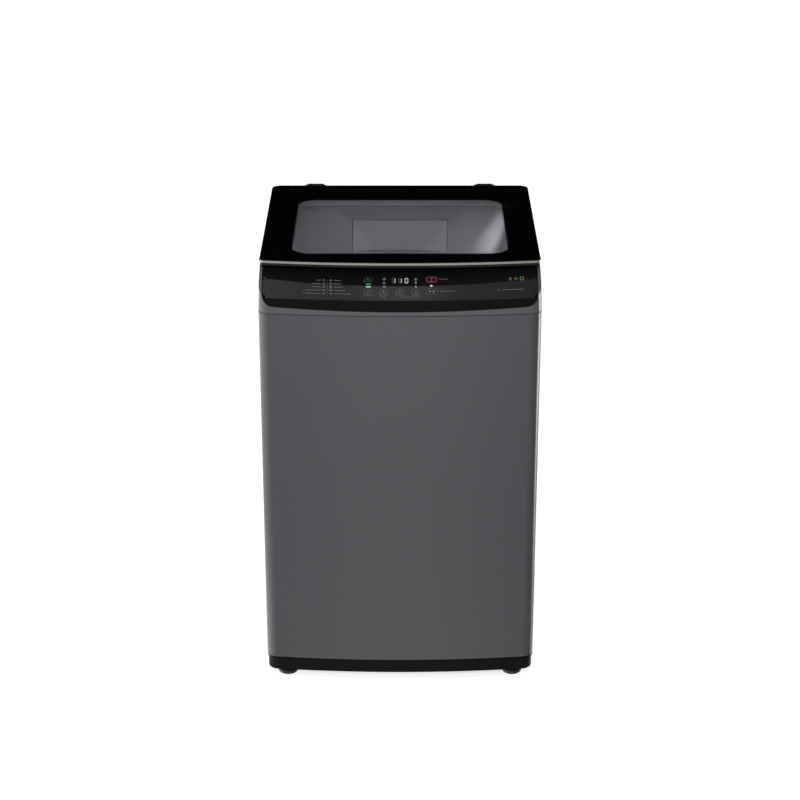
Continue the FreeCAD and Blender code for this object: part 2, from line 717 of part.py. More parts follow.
def top_frame():
    mass = side_loft("FrameMass", "0", "rim_taper", FRAME_LOW, "hinge_level")
    slope_run = "(slope_top_setback-step_depth)"
    above_slope = bow_swept("AboveSlope", [
        ("-30", "slope_foot_level"), ("step_depth", "slope_foot_level"),
        ("slope_top_setback", "slope_top_level"), (f"slope_top_setback+{slope_run}", "slope_top_level+2"),
        (f"slope_top_setback+{slope_run}", TALL), ("-30", TALL)], f"{HALF}+30")
    above_rim = in_lid_frame(prism("AboveRim", "YZ_Plane", rim_profile(
        "0", f"{LID_FRONT}-60", "hinge_setback+40"), "width+60"))
    rear_step = block("rear_step", (f"-{HALF}-5", f"{HALF}+5"),
                      (f"{HINGE_Y}-lid_back_gap-1", f"{REAR}+5"), ("rear_deck_level", TALL))
    ledge = new_body("LedgeSpace")
    pad(ledge, rounded(sketch_on(ledge, "ledge_outline", lift=LEDGE), "throat_half_width+throat_flange+4",
                       "throat_front-throat_flange-4-depth+hinge_setback+front_bow",
                       "throat_rear+throat_flange+4-depth+hinge_setback+front_bow",
                       "throat_radius+throat_flange+4"), "60")
    in_lid_frame(ledge)
    throat_hole = throat_loft("ThroatHole", "throat_wall+fit_gap")
    console = smile_block("console_space", "console_half_width", "console_floor",
                          f"{FRONT}-20", f"{CORNER}+console_depth-front_bow", "console_corner")
    hollow = in_lid_frame(prism("FrameHollow", "YZ_Plane", [
        ("console_depth-depth+hinge_setback+frame_wall", "-200"),
        ("console_depth-depth+hinge_setback+frame_wall", f"{LEDGE}-deck_thickness"),
        ("-lid_back_gap-frame_wall", f"{LEDGE}-deck_thickness"),
        ("hinge_setback-frame_wall", f"{LEDGE}-deck_thickness"),
        ("hinge_setback-frame_wall", "-200")], "width-2*rim_taper-2*frame_wall"))
    console_well = block("console_well", ("-console_half_width+20", "console_half_width-20"),
                         (f"{FRONT}+34", f"{CORNER}+console_depth-front_bow+frame_wall+20"),
                         (f"{FRAME_LOW}-1", "console_floor-4"))
    recess = block("inlet_recess_space", ("inlet_x-28", "inlet_x+28"), (f"{REAR}-inlet_recess", f"{REAR}+5"),
                   ("inlet_level-28", "inlet_level+28"))
    box = block("inlet_recess_wall", ("inlet_x-31", "inlet_x+31"), (f"{REAR}-inlet_recess-3", f"{REAR}-1"),
                ("inlet_level-31", "inlet_level+31"))
    valve_hole = rod("valve_hole", "inlet_radius+fit_gap", "inlet_x", (f"{REAR}-inlet_recess-10", REAR),
                     "inlet_level", "Y")
    shell = cut("frame_shell", mass, above_slope, above_rim, rear_step, ledge, throat_hole, console, hollow,
                console_well)
    sub_part("top_frame", cut("frame_finished", fuse("frame_boxed", shell, box), recess, valve_hole))


def seam_gasket():
    body = new_body("SeamGasket")
    pad(body, cabinet_plan(sketch_on(body, "gasket_outline", lift="seam_level"), "gasket_inset"),
        "gasket_height")
    inside = cabinet_plan(sketch_on(body, "gasket_inside", lift="seam_level-1"), "gasket_inset+gasket_width")
    pocket(body, inside, "gasket_height+2")
    sub_part("seam_gasket", body)


# ---------------------------------------------------------------- throat and detergent drawer
def throat_loft(name, wall):
    """The throat's passage from a round mouth up to a rounded rectangle, grown by a wall."""
    grow = f"({wall})"
    body = new_body(name)
    low = rounded(sketch_on(body, f"{name}_low", lift=THROAT_LOW), f"throat_mouth+{grow}",
                  f"-throat_mouth-{grow}", f"throat_mouth+{grow}", f"throat_mouth+{grow}-4")
    high = rounded(sketch_on(body, f"{name}_high", lift="hinge_level"), f"throat_half_width+{grow}",
                   f"{CORNER}+throat_front-{grow}", f"{CORNER}+throat_rear+{grow}",
                   f"throat_radius+{grow}")
    loft = body.newObject("PartDesign::AdditiveLoft", f"{name}_loft")
    loft.Profile = low
    loft.Sections = [high]
    body.Tip = loft
    return body


def throat_plate(name, half, rim, lift, thick):
    """A rounded plate in the lid's frame, over the throat, grown by a rim."""
    body = new_body(name)
    pad(body, rounded(sketch_on(body, f"{name}_outline", lift=lift), half,
                      f"throat_front-({rim})-depth+hinge_setback+front_bow",
                      f"throat_rear+({rim})-depth+hinge_setback+front_bow", f"throat_radius+({rim})"), thick)
    return in_lid_frame(body)


def drawer_window(name, grow):
    return block(name, (f"-drawer_half_width-({grow})", f"drawer_half_width+({grow})"),
                 (f"{CORNER}+throat_rear-70", f"{CORNER}+throat_rear+30"),
                 (f"drawer_low-({grow})", f"drawer_high+({grow})"))


def throat():
    outer = throat_loft("ThroatOuter", "throat_wall")
    inner = throat_loft("ThroatInner", "0")
    above = in_lid_frame(prism("AboveLedge", "YZ_Plane", [
        (f"{LID_FRONT}-60", LEDGE), ("hinge_setback+40", LEDGE),
        ("hinge_setback+40", "80"), (f"{LID_FRONT}-60", "80")], "width+60"))
    flange = throat_plate("ThroatFlange", "throat_half_width+throat_flange", "throat_flange", LEDGE, "2")
    wall = cut("throat_trimmed", outer, above)
    funnel = cut("throat_open", fuse("throat_flanged", wall, flange), inner, drawer_window(
        "drawer_window", "drawer_gap"))
    sub_part("throat_funnel", funnel)


def drawer():
    face = f"({CORNER}+throat_rear)"
    wall = cut("drawer_face_shell", throat_loft("DrawerOuter", "throat_wall"),
               throat_loft("DrawerInner", "0"))
    sub_part("drawer_front", common("DrawerFront", wall, drawer_window("drawer_face_window", "0")))
    back = f"({face}+drawer_travel+drawer_hold)"
    side = "(drawer_half_width-6)"
    start = f"({face}+throat_wall-2)"
    solid = block("tray_solid", (f"-{side}", side), (start, back), ("drawer_low+4", "drawer_high-12"))
    space = block("tray_space", (f"-{side}+drawer_wall", f"{side}-drawer_wall"),
                  (f"{face}+throat_wall+drawer_wall", f"{back}-drawer_wall"),
                  ("drawer_low+4+drawer_wall", "drawer_high"))
    divider = block("tray_divider", ("18", "20"), (f"{face}+throat_wall+1", f"{back}-1"),
                    ("drawer_low+5", "drawer_high-20"))
    tray = cut("tray_clear", cut("tray_open", solid, space), throat_loft("TrayClear", "throat_wall"))
    sub_part("drawer_tray", fuse("DrawerTray", tray, divider))
    grow = "(drawer_gap+housing_wall)"
    box = block("housing_solid", (f"-drawer_half_width-{grow}", f"drawer_half_width+{grow}"),
                (f"{face}+throat_wall-4", f"{back}+4+housing_wall"),
                (f"drawer_low-{grow}", f"drawer_high+{grow}+8"))
    bay = block("housing_bay", ("-drawer_half_width-drawer_gap", "drawer_half_width+drawer_gap"),
                (f"{face}-20", f"{back}+4"), ("drawer_low-drawer_gap", "drawer_high+drawer_gap"))
    water = block("housing_water_space", ("-drawer_half_width", "drawer_half_width"),
                  (f"{face}+throat_wall+4", f"{back}+4"), ("drawer_high", "drawer_high+9"))
    runners = both_sides("housing_runner", lambda name, sign: block(
        name, (f"{sign}(drawer_half_width-3)-4", f"{sign}(drawer_half_width-3)+4"),
        (f"{face}+throat_wall+6", f"{back}+4"), ("drawer_low-drawer_gap", "drawer_low+4-fit_gap")))
    shell = cut("housing_hollow", box, bay, water, throat_loft("HousingClear", "throat_wall"))
    sub_part("dispenser_housing", fuse("DispenserHousing", shell, *runners))


def inlet_valve():
    back = f"({REAR}-inlet_recess)"
    plate = block("valve_plate", ("inlet_x-22", "inlet_x+22"), (back, f"{back}+3"),
                  ("inlet_level-22", "inlet_level+22"))
    neck = rod("valve_neck", "inlet_radius", "inlet_x", (f"{back}-8", f"{back}+3+inlet_length"),
               "inlet_level", "Y")
    body = rod("valve_body", "16", "inlet_x", (f"{back}-40", f"{back}-8"), "inlet_level", "Y")
    coil = block("valve_coil", ("inlet_x-13", "inlet_x+13"), (f"{back}-38", f"{back}-14"),
                 ("inlet_level-46", "inlet_level"))
    bore = rod("valve_bore", "9", "inlet_x", (f"{back}-4", REAR), "inlet_level", "Y")
    sub_part("water_inlet_valve", cut("valve_bored", fuse("valve_solid", plate, neck, body, coil), bore))
    run = ("drawer_half_width+drawer_gap+housing_wall", "inlet_x-14")
    pipe = rod("duct_pipe", "8", run, f"{back}-26", "inlet_level", "X")
    hole = rod("duct_bore", "6", (f"{run[0]}-1", f"{run[1]}+1"), f"{back}-26", "inlet_level", "X")
    sub_part("inlet_duct", cut("duct_bored", pipe, hole, rod(
        "duct_clear", "16", "inlet_x", (f"{back}-60", back), "inlet_level", "Y")))


# ---------------------------------------------------------------- console
def console():
    slope = "atan((slope_top_level-slope_foot_level)/(slope_top_setback-step_depth))"
    sink_out = f"(panel_glass*sin({slope}))"
    sink_down = f"(panel_glass*cos({slope}))"
    wall_out = f"((panel_glass+bezel_wall)*sin({slope}))"
    wall_down = f"((panel_glass+bezel_wall)*cos({slope}))"
    land = "(console_depth+bezel_land)"
    skin = bow_swept("BezelSkin", [
        ("fit_gap", "console_floor-1"), ("fit_gap", "step_level"), ("step_depth", "step_level+step_depth"),
        ("step_depth", "slope_foot_level"), (f"step_depth+{sink_out}", f"slope_foot_level-{sink_down}"),
        (f"slope_top_setback+{sink_out}", f"slope_top_level-{sink_down}"),
        (land, f"slope_top_level-{sink_down}"), (land, f"slope_top_level-{sink_down}-bezel_wall"),
        (f"slope_top_setback+{wall_out}", f"slope_top_level-{wall_down}"),
        (f"step_depth+{wall_out}", f"slope_foot_level-{wall_down}"),
        ("step_depth+bezel_wall", f"slope_foot_level-{wall_down}-2"),
        ("step_depth+bezel_wall", "console_floor-1")], f"{HALF}+20")
    outline = smile_block("bezel_outline", "console_half_width-fit_gap", "console_floor+fit_gap",
                          f"{FRONT}-10", f"{CORNER}+console_depth-front_bow-fit_gap",
                          "console_corner-fit_gap")
    sub_part("control_bezel", common("ControlBezel", skin, outline))
    sheet_glass = bow_swept("PanelGlass", [
        ("step_depth", "slope_foot_level"), ("slope_top_setback", "slope_top_level"),
        (f"slope_top_setback+{sink_out}", f"slope_top_level-{sink_down}"),
        (f"step_depth+{sink_out}", f"slope_foot_level-{sink_down}")], f"{HALF}+20")
    window = block("panel_trim_block", ("-panel_half_width", "panel_half_width"),
                   (f"{FRONT}-10", f"{CORNER}+console_depth"), ("slope_foot_level-10", TALL))
    sub_part("control_panel_glass", common("ControlPanelGlass", sheet_glass, window))
    board_y = f"({FRONT}+(step_depth+slope_top_setback)/2+{wall_out}+1.6)"
    board_z = f"((slope_foot_level+slope_top_level)/2-{wall_down})"
    board = doc.addObject("Part::Box", "DisplayBoard")
    board.Placement = Placement(Vector(), Rotation(Vector(1, 0, 0), value(slope)))
    sink = "(board_thickness+1)"
    bind(board, {"Length": "2*board_half_width", "Width": "board_length", "Height": "board_thickness",
                 "Placement.Rotation.Angle": slope, "Placement.Base.x": "-board_half_width",
                 "Placement.Base.y": f"{board_y}-board_length/2*cos({slope})+{sink}*sin({slope})",
                 "Placement.Base.z": f"{board_z}-board_length/2*sin({slope})-{sink}*cos({slope})"})
    sub_part("display_board", board)
    front = f"({FRONT}+30)"
    case = block("module_case", ("-module_half_width", "module_half_width"),
                 (front, f"{front}+module_depth"), ("console_floor+0.8", "console_floor+module_height"))
    plugs = [block(f"module_plug_{count}", (f"{place}", f"{place}+12"),
                   (f"{front}+module_depth-1", f"{front}+module_depth+6"),
                   ("console_floor+8", "console_floor+20")) for count, place in enumerate((20, 38))]
    sub_part("control_module", fuse("ControlModule", case, *plugs))


# ---------------------------------------------------------------- lid
def lid_plate(name, inset, lift, thick):
    """A plate with the lid's bowed plan, inset from the lid's edge, in the lid's frame."""
    body = new_body(name)
    outline = sketch_on(body, f"{name}_outline", lift=lift)
    bowed(outline, f"(lid_half_width-({inset}))", f"({LID_FRONT}+({inset}))",
          f"(-lid_back_gap-({inset}))", f"({LID_BOW}-({inset}))",
          f"(lid_front_radius-({inset}))", f"(lid_rear_radius-({inset}))")
    pad(body, outline, thick)
    return body


def sight_plate(name, grow, lift, thick):
    """A plate with the outline of the lid's window, grown by a formula."""
    body = new_body(name)
    pad(body, rounded(sketch_on(body, f"{name}_outline", lift=lift), f"sight_half_width+({grow})",
                      f"{SIGHT_FRONT}-({grow})", f"{SIGHT_REAR}+({grow})", f"sight_radius+({grow})"), thick)
    return body


def front_band(name, low, high, setback, depth_of):
    """A band along the lid's bowed front edge, as the difference of two lid plans."""
    outer = lid_plate(f"{name}_outer", setback, low, f"({high})-({low})")
    behind = lid_plate(f"{name}_behind", f"{setback}+{depth_of}", f"{low}-1", f"({high})-({low})+2")
    keep = block(f"{name}_keep", ("-lid_half_width-1", "lid_half_width+1"),
                 (f"{LID_FRONT}-5", f"{LID_FRONT}+34"),
                 (f"{low}-1", f"{high}+1"))
    return common(name, cut(f"{name}_ring", outer, behind), keep)


def lid():
    band = front_band("LidFrontTrim", "lid_rise-trim_height", "lid_rise", "0", "trim_depth")
    sub_part("lid_front_trim", in_lid_frame(band))
    room = front_band("trim_room", "lid_rise-trim_height", "lid_rise+1", "-1", "trim_depth+1")
    sub_part("lid_glass", in_lid_frame(cut(
        "LidGlass", lid_plate("glass_sheet", "0.4", GLASS_LOW, "glass"), room)))
    under = lid_plate("frame_plate", "lip_setback", LID_LOW, f"{GLASS_LOW}-{LID_LOW}")
    skirt = sight_plate("frame_skirt", "skirt+2", f"{LID_LOW}-skirt_depth", "skirt_depth+1")
    opening = sight_plate("frame_opening", "2", f"{LID_LOW}-skirt_depth-1", "40")
    tongues = both_sides("tongue_space", lambda name, sign: block(
        name, (f"{sign}hinge_x-barrel_half_width", f"{sign}hinge_x+barrel_half_width"),
        ("-arm_length", "0"), (f"{LID_LOW}-1", GLASS_LOW)))
    lower_room = front_band("trim_room_low", "lid_rise-trim_height", "lid_rise+1", "-1", "trim_depth+1")
    sub_part("lid_frame", in_lid_frame(cut(
        "LidFrame", fuse("frame_skirted", under, skirt), opening, lower_room, *tongues)))
    bases = []
    for side, sign in (("left", "-"), ("right", "")):
        x = (f"{sign}hinge_x-barrel_half_width", f"{sign}hinge_x+barrel_half_width")
        barrel = rod(f"barrel_{side}", "barrel_radius", x, "0", "0", "X")
        neck = block(f"arm_neck_{side}", x, ("-lid_back_gap+fit_gap", "0"), (LID_LOW, f"{GLASS_LOW}+1"))
        tongue = block(f"arm_tongue_{side}", x, ("-arm_length", "-lid_back_gap+0.4"), (LID_LOW, GLASS_LOW))
        bore = rod(f"barrel_bore_{side}", "pin_radius+running_gap", (f"{x[0]}-1", f"{x[1]}+1"),
                   "0", "0", "X")
        arm = cut(f"HingeArm_{side}", fuse(f"arm_solid_{side}", barrel, neck, tongue), bore)
        sub_part(f"lid_hinge_arm_{side}", in_lid_frame(arm))
        outer_x = f"{sign}hinge_x"
        gap = "(barrel_half_width+fit_gap)"
        ears = []
        for end, low, high in (("in", f"-{gap}-ear_thickness", f"-{gap}"),
                               ("out", gap, f"{gap}+ear_thickness")):
            span = (f"{outer_x}+({low})", f"{outer_x}+({high})")
            ears.append(rod(f"ear_{end}_{side}", "ear_radius", span, HINGE_Y, "hinge_level", "X"))
            ears.append(block(f"ear_post_{end}_{side}", span,
                              (f"{HINGE_Y}-ear_radius", f"{HINGE_Y}+ear_radius"),
                              ("rear_deck_level", "hinge_level")))
        foot = block(f"hinge_foot_{side}",
                     (f"{outer_x}-{gap}-ear_thickness-4", f"{outer_x}+{gap}+ear_thickness+4"),
                     (f"{HINGE_Y}-ear_radius-2", f"{HINGE_Y}+ear_radius+4"),
                     ("rear_deck_level", "rear_deck_level+2.5"))
        hole = rod(f"ear_hole_{side}", "pin_radius", (f"{outer_x}-60", f"{outer_x}+60"), HINGE_Y,
                   "hinge_level", "X")
        bases.append(cut(f"hinge_base_{side}", fuse(f"hinge_solid_{side}", foot, *ears), hole))
    sub_part("hinge_bases", group("HingeBases", *bases))
    sub_part("hinge_pins", group("HingePins", *both_sides("hinge_pin", lambda name, sign: rod(
        name, "pin_radius", (f"{sign}hinge_x-barrel_half_width-fit_gap-ear_thickness-0.5",
                             f"{sign}hinge_x+barrel_half_width+fit_gap+ear_thickness+0.5"),
        HINGE_Y, "hinge_level", "X"))))
    bumpers = []
    for row, y in (("front", f"{LID_FRONT}+48"), ("rear", "-lid_back_gap-30")):
        bumpers += both_sides(f"bumper_{row}", lambda name, sign: rod(
            name, "bumper_radius", f"{sign}(lid_half_width-18)", y,
            (f"{RIM}+fit_gap", LID_LOW)))
    sub_part("lid_bumpers", in_lid_frame(group("LidBumpers", *bumpers)))


# ---------------------------------------------------------------- tub
def tub():
    outer = turned("TubShell", [
        ("spin_shaft_radius+14", "tub_low"), ("tub_foot_radius-14", "tub_low"),
        ("tub_foot_radius", "tub_low+14"), ("tub_radius-2", "tub_high-30"), ("tub_radius", "tub_high-30"),
        ("tub_radius", "tub_high"), ("tub_radius-5", "tub_high"), ("tub_radius-2-tub_wall", "tub_high-31"),
        ("tub_foot_radius-tub_wall", "tub_low+16"), ("tub_foot_radius-16", "tub_low+tub_floor"),
        ("spin_shaft_radius+14", "tub_low+tub_floor")])
    bands = [turned(f"TubBand_{count}", [
        ("tub_foot_radius-1", f"{level}-3"), ("tub_radius+1", f"{level}-3"),
        ("tub_radius+1", f"{level}+3"), ("tub_foot_radius-1", f"{level}+3")])
        for count, level in enumerate(("tub_low+130", "tub_low+260", "tub_low+390"))]
    bosses = [rod(f"tub_boss_{count}", "11", x, y, (PLATE_TOP, "tub_low+2")) for count, (x, y) in enumerate(
        (x, y) for x in ("-plate_left+25", "plate_right-25") for y in ("-60", "60"))]
    drain = rod("tub_drain", "hose_radius", "-pump_x", "pump_y", ("tub_low-12", "tub_low+2"))
    drain_bore = rod("tub_drain_bore", "hose_radius-2", "-pump_x", "pump_y", ("tub_low-13", "tub_low+20"))
    ears = [suspended(f"tub_ear_{count}", angle) for count, angle in enumerate((45, 135, 225, 315))]
    inside = turned("TubInside", [
        ("0", "tub_low+tub_floor"), ("tub_foot_radius-16", "tub_low+tub_floor"),
        ("tub_foot_radius-tub_wall", "tub_low+16"), ("tub_radius-2-tub_wall", "tub_high-31"),
        ("tub_radius-5", "tub_high"), ("tub_radius-5", "tub_high+5"), ("0", "tub_high+5")])
    holes = [rod(f"ear_rod_hole_{count}", "rod_radius+1", x, y, ("ear_level-5", "ear_level+40"))
             for count, (x, y) in enumerate(rod_places())]
    solid = fuse("tub_solid", outer, *bands, *bosses, drain, *ears)
    sub_part("outer_tub", cut("OuterTub", solid, inside, drain_bore, *holes))
    sub_part("tub_ring", turned("TubRing", [
        ("ring_inner", "tub_high"), ("tub_radius+2", "tub_high"), ("tub_radius+2", "tub_high+ring_height-3"),
        ("tub_radius-3", "tub_high+ring_height"), ("ring_inner+6", "tub_high+ring_height"),
        ("ring_inner", "tub_high+ring_height-4")]))
    sub_part("tub_seal", turned("TubSeal", [
        ("spin_shaft_radius+running_gap", "tub_low-1"), ("spin_shaft_radius+14", "tub_low-1"),
        ("spin_shaft_radius+14", "tub_low+tub_floor+3"), ("spin_shaft_radius+6", "tub_low+tub_floor+6"),
        ("spin_shaft_radius+running_gap", "tub_low+tub_floor+6")]))


def rod_places():
    return [(f"{sign_x}rod_place", f"{sign_y}rod_place") for sign_x in ("-", "") for sign_y in ("-", "")]


def suspended(name, angle):
    """An ear of the tub that reaches out to a suspension rod at one of its four corners."""
    bar = doc.addObject("Part::Box", name)
    turn = math.radians(angle)
    across = value("cap_radius")
    start = value("tub_foot_radius") - 6
    corner = Vector(start * math.cos(turn) + across * math.sin(turn),
                    start * math.sin(turn) - across * math.cos(turn), 0)
    bar.Placement = Placement(corner, Rotation(Vector(0, 0, 1), angle))
    bind(bar, {"Length": "rod_place*sqrt(2)+cap_radius-tub_foot_radius+6", "Width": "2*cap_radius",
               "Height": "ear_height", "Placement.Base.z": "ear_level"})
    return bar


def suspension():
    brackets = []
    rods = []
    cups = []
    springs = []
    low_cap = "(rod_low+cap_height)"
    cup_low = "(ear_level-cup_height)"
    for count, (x, y) in enumerate(rod_places()):
        sign_x = "-" if x.startswith("-") else ""
        sign_y = "-" if y.startswith("-") else ""
        plate = rod(f"bracket_plate_{count}", "26", x, y, ("bracket_level", "bracket_level+4"))
        rear = CABINET_REAR if sign_y == "" else f"(-{CORNER})"
        ends = sorted(((f"{sign_x}({HALF}-sheet)"), x), key=value)
        tab_x = block(f"bracket_side_{count}", tuple(ends), (f"{y}-14", f"{y}+14"),
                      ("bracket_level", "bracket_level+bracket_height"))
        ends = sorted((f"{sign_y}({rear}-sheet-0.4)", y), key=value)
        tab_y = block(f"bracket_end_{count}", (f"{x}-10", f"{x}+10"), tuple(ends),
                      ("bracket_level", "bracket_level+bracket_height"))
        core = rod(f"bracket_space_{count}", "12", x, y, ("bracket_level+4", "bracket_level+40"))
        hole = rod(f"bracket_hole_{count}", "rod_radius", x, y, ("bracket_level-5", "bracket_level+40"))
        solid = fuse(f"bracket_solid_{count}", plate, tab_x, tab_y)
        brackets.append(cut(f"bracket_{count}", solid, core, hole))
        shank = rod(f"rod_shank_{count}", "rod_radius", x, y, ("rod_low", "bracket_level+10"))
        head = rod(f"rod_head_{count}", "rod_radius+5", x, y, ("bracket_level+4", "bracket_level+10"))
        cap = rod(f"rod_cap_{count}", "cap_radius", x, y, ("rod_low", low_cap))
        rods.append(fuse(f"rod_{count}", shank, head, cap))
        cup = rod(f"cup_{count}", "cap_radius", x, y, (cup_low, "ear_level"))
        well = rod(f"cup_bore_{count}", "rod_radius+1", x, y, (f"{cup_low}-1", "ear_level+1"))
        cups.append(cut(f"cup_hollow_{count}", cup, well))
        springs.append(spring(f"spring_{count}", x, y, low_cap, cup_low))
    sub_part("corner_brackets", group("CornerBrackets", *brackets))
    sub_part("suspension_rods", group("SuspensionRods", *rods))
    sub_part("damper_cups", group("DamperCups", *cups))
    sub_part("suspension_springs", group("SuspensionSprings", *springs))


def spring(name, x, y, low, high):
    """A coil spring between two levels, its wire swept along arcs of an eighth of a turn."""
    wire = value("spring_wire") / 2
    start = value(low) + wire + value("fit_gap")
    turns = value("spring_turns")
    rise = (value(high) - wire - value("fit_gap") - start) / turns
    count = round(turns * ARCS_A_TURN)

    def place(step):
        angle = 2 * math.pi * turns * step / count
        radius = value("spring_radius")
        return Vector(radius * math.cos(angle), radius * math.sin(angle), rise * turns * step / count)

    arcs = [Part.Arc(place(step), place(step + 0.5), place(step + 1)).toShape() for step in range(count)]
    profile = Part.Circle(place(0), arcs[0].tangentAt(arcs[0].FirstParameter), wire)
    item = doc.addObject("Part::Feature", name)
    item.Shape = Part.Wire(arcs).makePipeShell([Part.Wire([profile.toShape()])], True, False)
    item.Placement = Placement(Vector(value(x), value(y), start), Rotation())
    return item


# ---------------------------------------------------------------- basket
def basket():
    sub_part("spin_basket", turned("SpinBasket", [
        ("basket_radius-12", "basket_low"), ("basket_radius", "basket_low"),
        ("basket_radius", "basket_high"),
        ("basket_radius-basket_sheet", "basket_high"),
        ("basket_radius-basket_sheet", "basket_low+basket_sheet"),
        ("basket_radius-12", "basket_low+basket_sheet")]))
    sub_part("balance_ring", turned("BalanceRing", [
        ("balance_inner+4", "basket_high"), ("balance_outer-6", "basket_high"),
        ("balance_outer", "basket_high+8"), ("balance_outer", "basket_high+balance_height-8"),
        ("balance_outer-8", "basket_high+balance_height"),
        ("balance_inner+10", "basket_high+balance_height"),
        ("balance_inner", "basket_high+balance_height-10"), ("balance_inner", "basket_high+8")]))
    floor = "(basket_low+basket_sheet)"
    sub_part("basket_base", turned("BasketBase", [
        ("wash_shaft_radius+16", floor), ("basket_radius-basket_sheet", floor),
        ("basket_radius-basket_sheet", f"{floor}+24"), ("basket_radius-basket_sheet-4", f"{floor}+24"),
        ("basket_radius-basket_sheet-10", f"{floor}+hub_floor"),
        ("wash_shaft_radius+16", f"{floor}+hub_floor")]))
    arms = []
    for count in range(3):
        arm = doc.addObject("Part::Box", f"flange_arm_{count}")
        angle = 30 + 120 * count
        turn = math.radians(angle)
        across = value("spin_shaft_radius")
        arm.Placement = Placement(Vector(across * math.sin(turn), -across * math.cos(turn), 0),
                                  Rotation(Vector(0, 0, 1), angle))
        bind(arm, {"Length": "flange_arm", "Width": "2*spin_shaft_radius",
                   "Height": "flange_height+basket_sheet", "Placement.Base.z": "basket_low-flange_height"})
        arms.append(arm)
    hub = rod("flange_hub", "spin_shaft_radius+24", "0", "0", ("basket_low-flange_height", floor))
    bore = rod("flange_bore", "spin_shaft_radius", "0", "0", ("basket_low-40", "basket_low+20"))
    sub_part("basket_hub_flange", cut("BasketHubFlange", fuse("flange_solid", hub, *arms), bore))
    tube_top = f"({floor})"
    sub_part("spin_tube", turned("SpinTube", [
        ("wash_shaft_radius+running_gap", "gearbox_low+40"), ("spin_shaft_radius", "gearbox_low+40"),
        ("spin_shaft_radius", tube_top), ("wash_shaft_radius+running_gap", tube_top)]))
    sub_part("lint_filters", group("LintFilters", *lint_filters(floor)))


def lint_filters(floor):
    """Two lint filter boxes that hug the basket's wall, opposite each other."""
    wall = "(basket_radius-basket_sheet-0.2)"
    hug = turned("FilterHug", [
        (f"{wall}-filter_depth", f"{floor}+40"), (wall, f"{floor}+40"),
        (wall, "basket_high-70"), (f"{wall}-filter_depth", "basket_high-70")])
    sides = []
    for side, y in (("front", ("-basket_radius", "0")), ("rear", ("0", "basket_radius"))):
        sides.append(common(f"lint_filter_{side}", hug, block(
            f"filter_cut_{side}", ("-filter_half_width", "filter_half_width"), y, (floor, "basket_high"))))
    return sides


# ---------------------------------------------------------------- pulsator and drive
def pulsator():
    low = "pulsator_low"
    dish = turned("PulsatorDish", [
        ("wash_shaft_radius", low), ("pulsator_radius-6", low), ("pulsator_radius", f"{low}+5"),
        ("pulsator_radius-8", f"{low}+9"), ("pulsator_radius*0.55", f"{low}+12"),
        ("46", f"{low}+pulsator_height+6"), ("30", f"{low}+pulsator_height+10"),
        ("wash_shaft_radius", f"{low}+pulsator_height+10")])
    vanes = []
    for count in range(6):
        angle = 60 * count + 15
        turn = math.radians(angle)
        vane = doc.addObject("Part::Wedge", f"vane_{count}")
        bind(vane, {"Xmin": "30", "Xmax": "pulsator_radius-14", "X2min": "34", "X2max": "pulsator_radius-30",
                    "Ymin": "0", "Ymax": "vane_height", "Zmin": "-11", "Zmax": "11", "Z2min": "-4",
                    "Z2max": "4"})
        vane.Placement = Placement(Vector(0, 0, value(low) + 5), Rotation(angle, 0, 90))
        vanes.append(vane)
    sub_part("pulsator_plate", fuse("PulsatorPlate", dish, *vanes))
    top = f"({low}+pulsator_height+10)"
    cap = rod("cap_disc", "26", "0", "0", (top, f"{top}+4"))
    sub_part("pulsator_cap", cap)
    sub_part("wash_shaft", rod("WashShaft", "wash_shaft_radius", "0", "0", ("gearbox_low+24", top)))


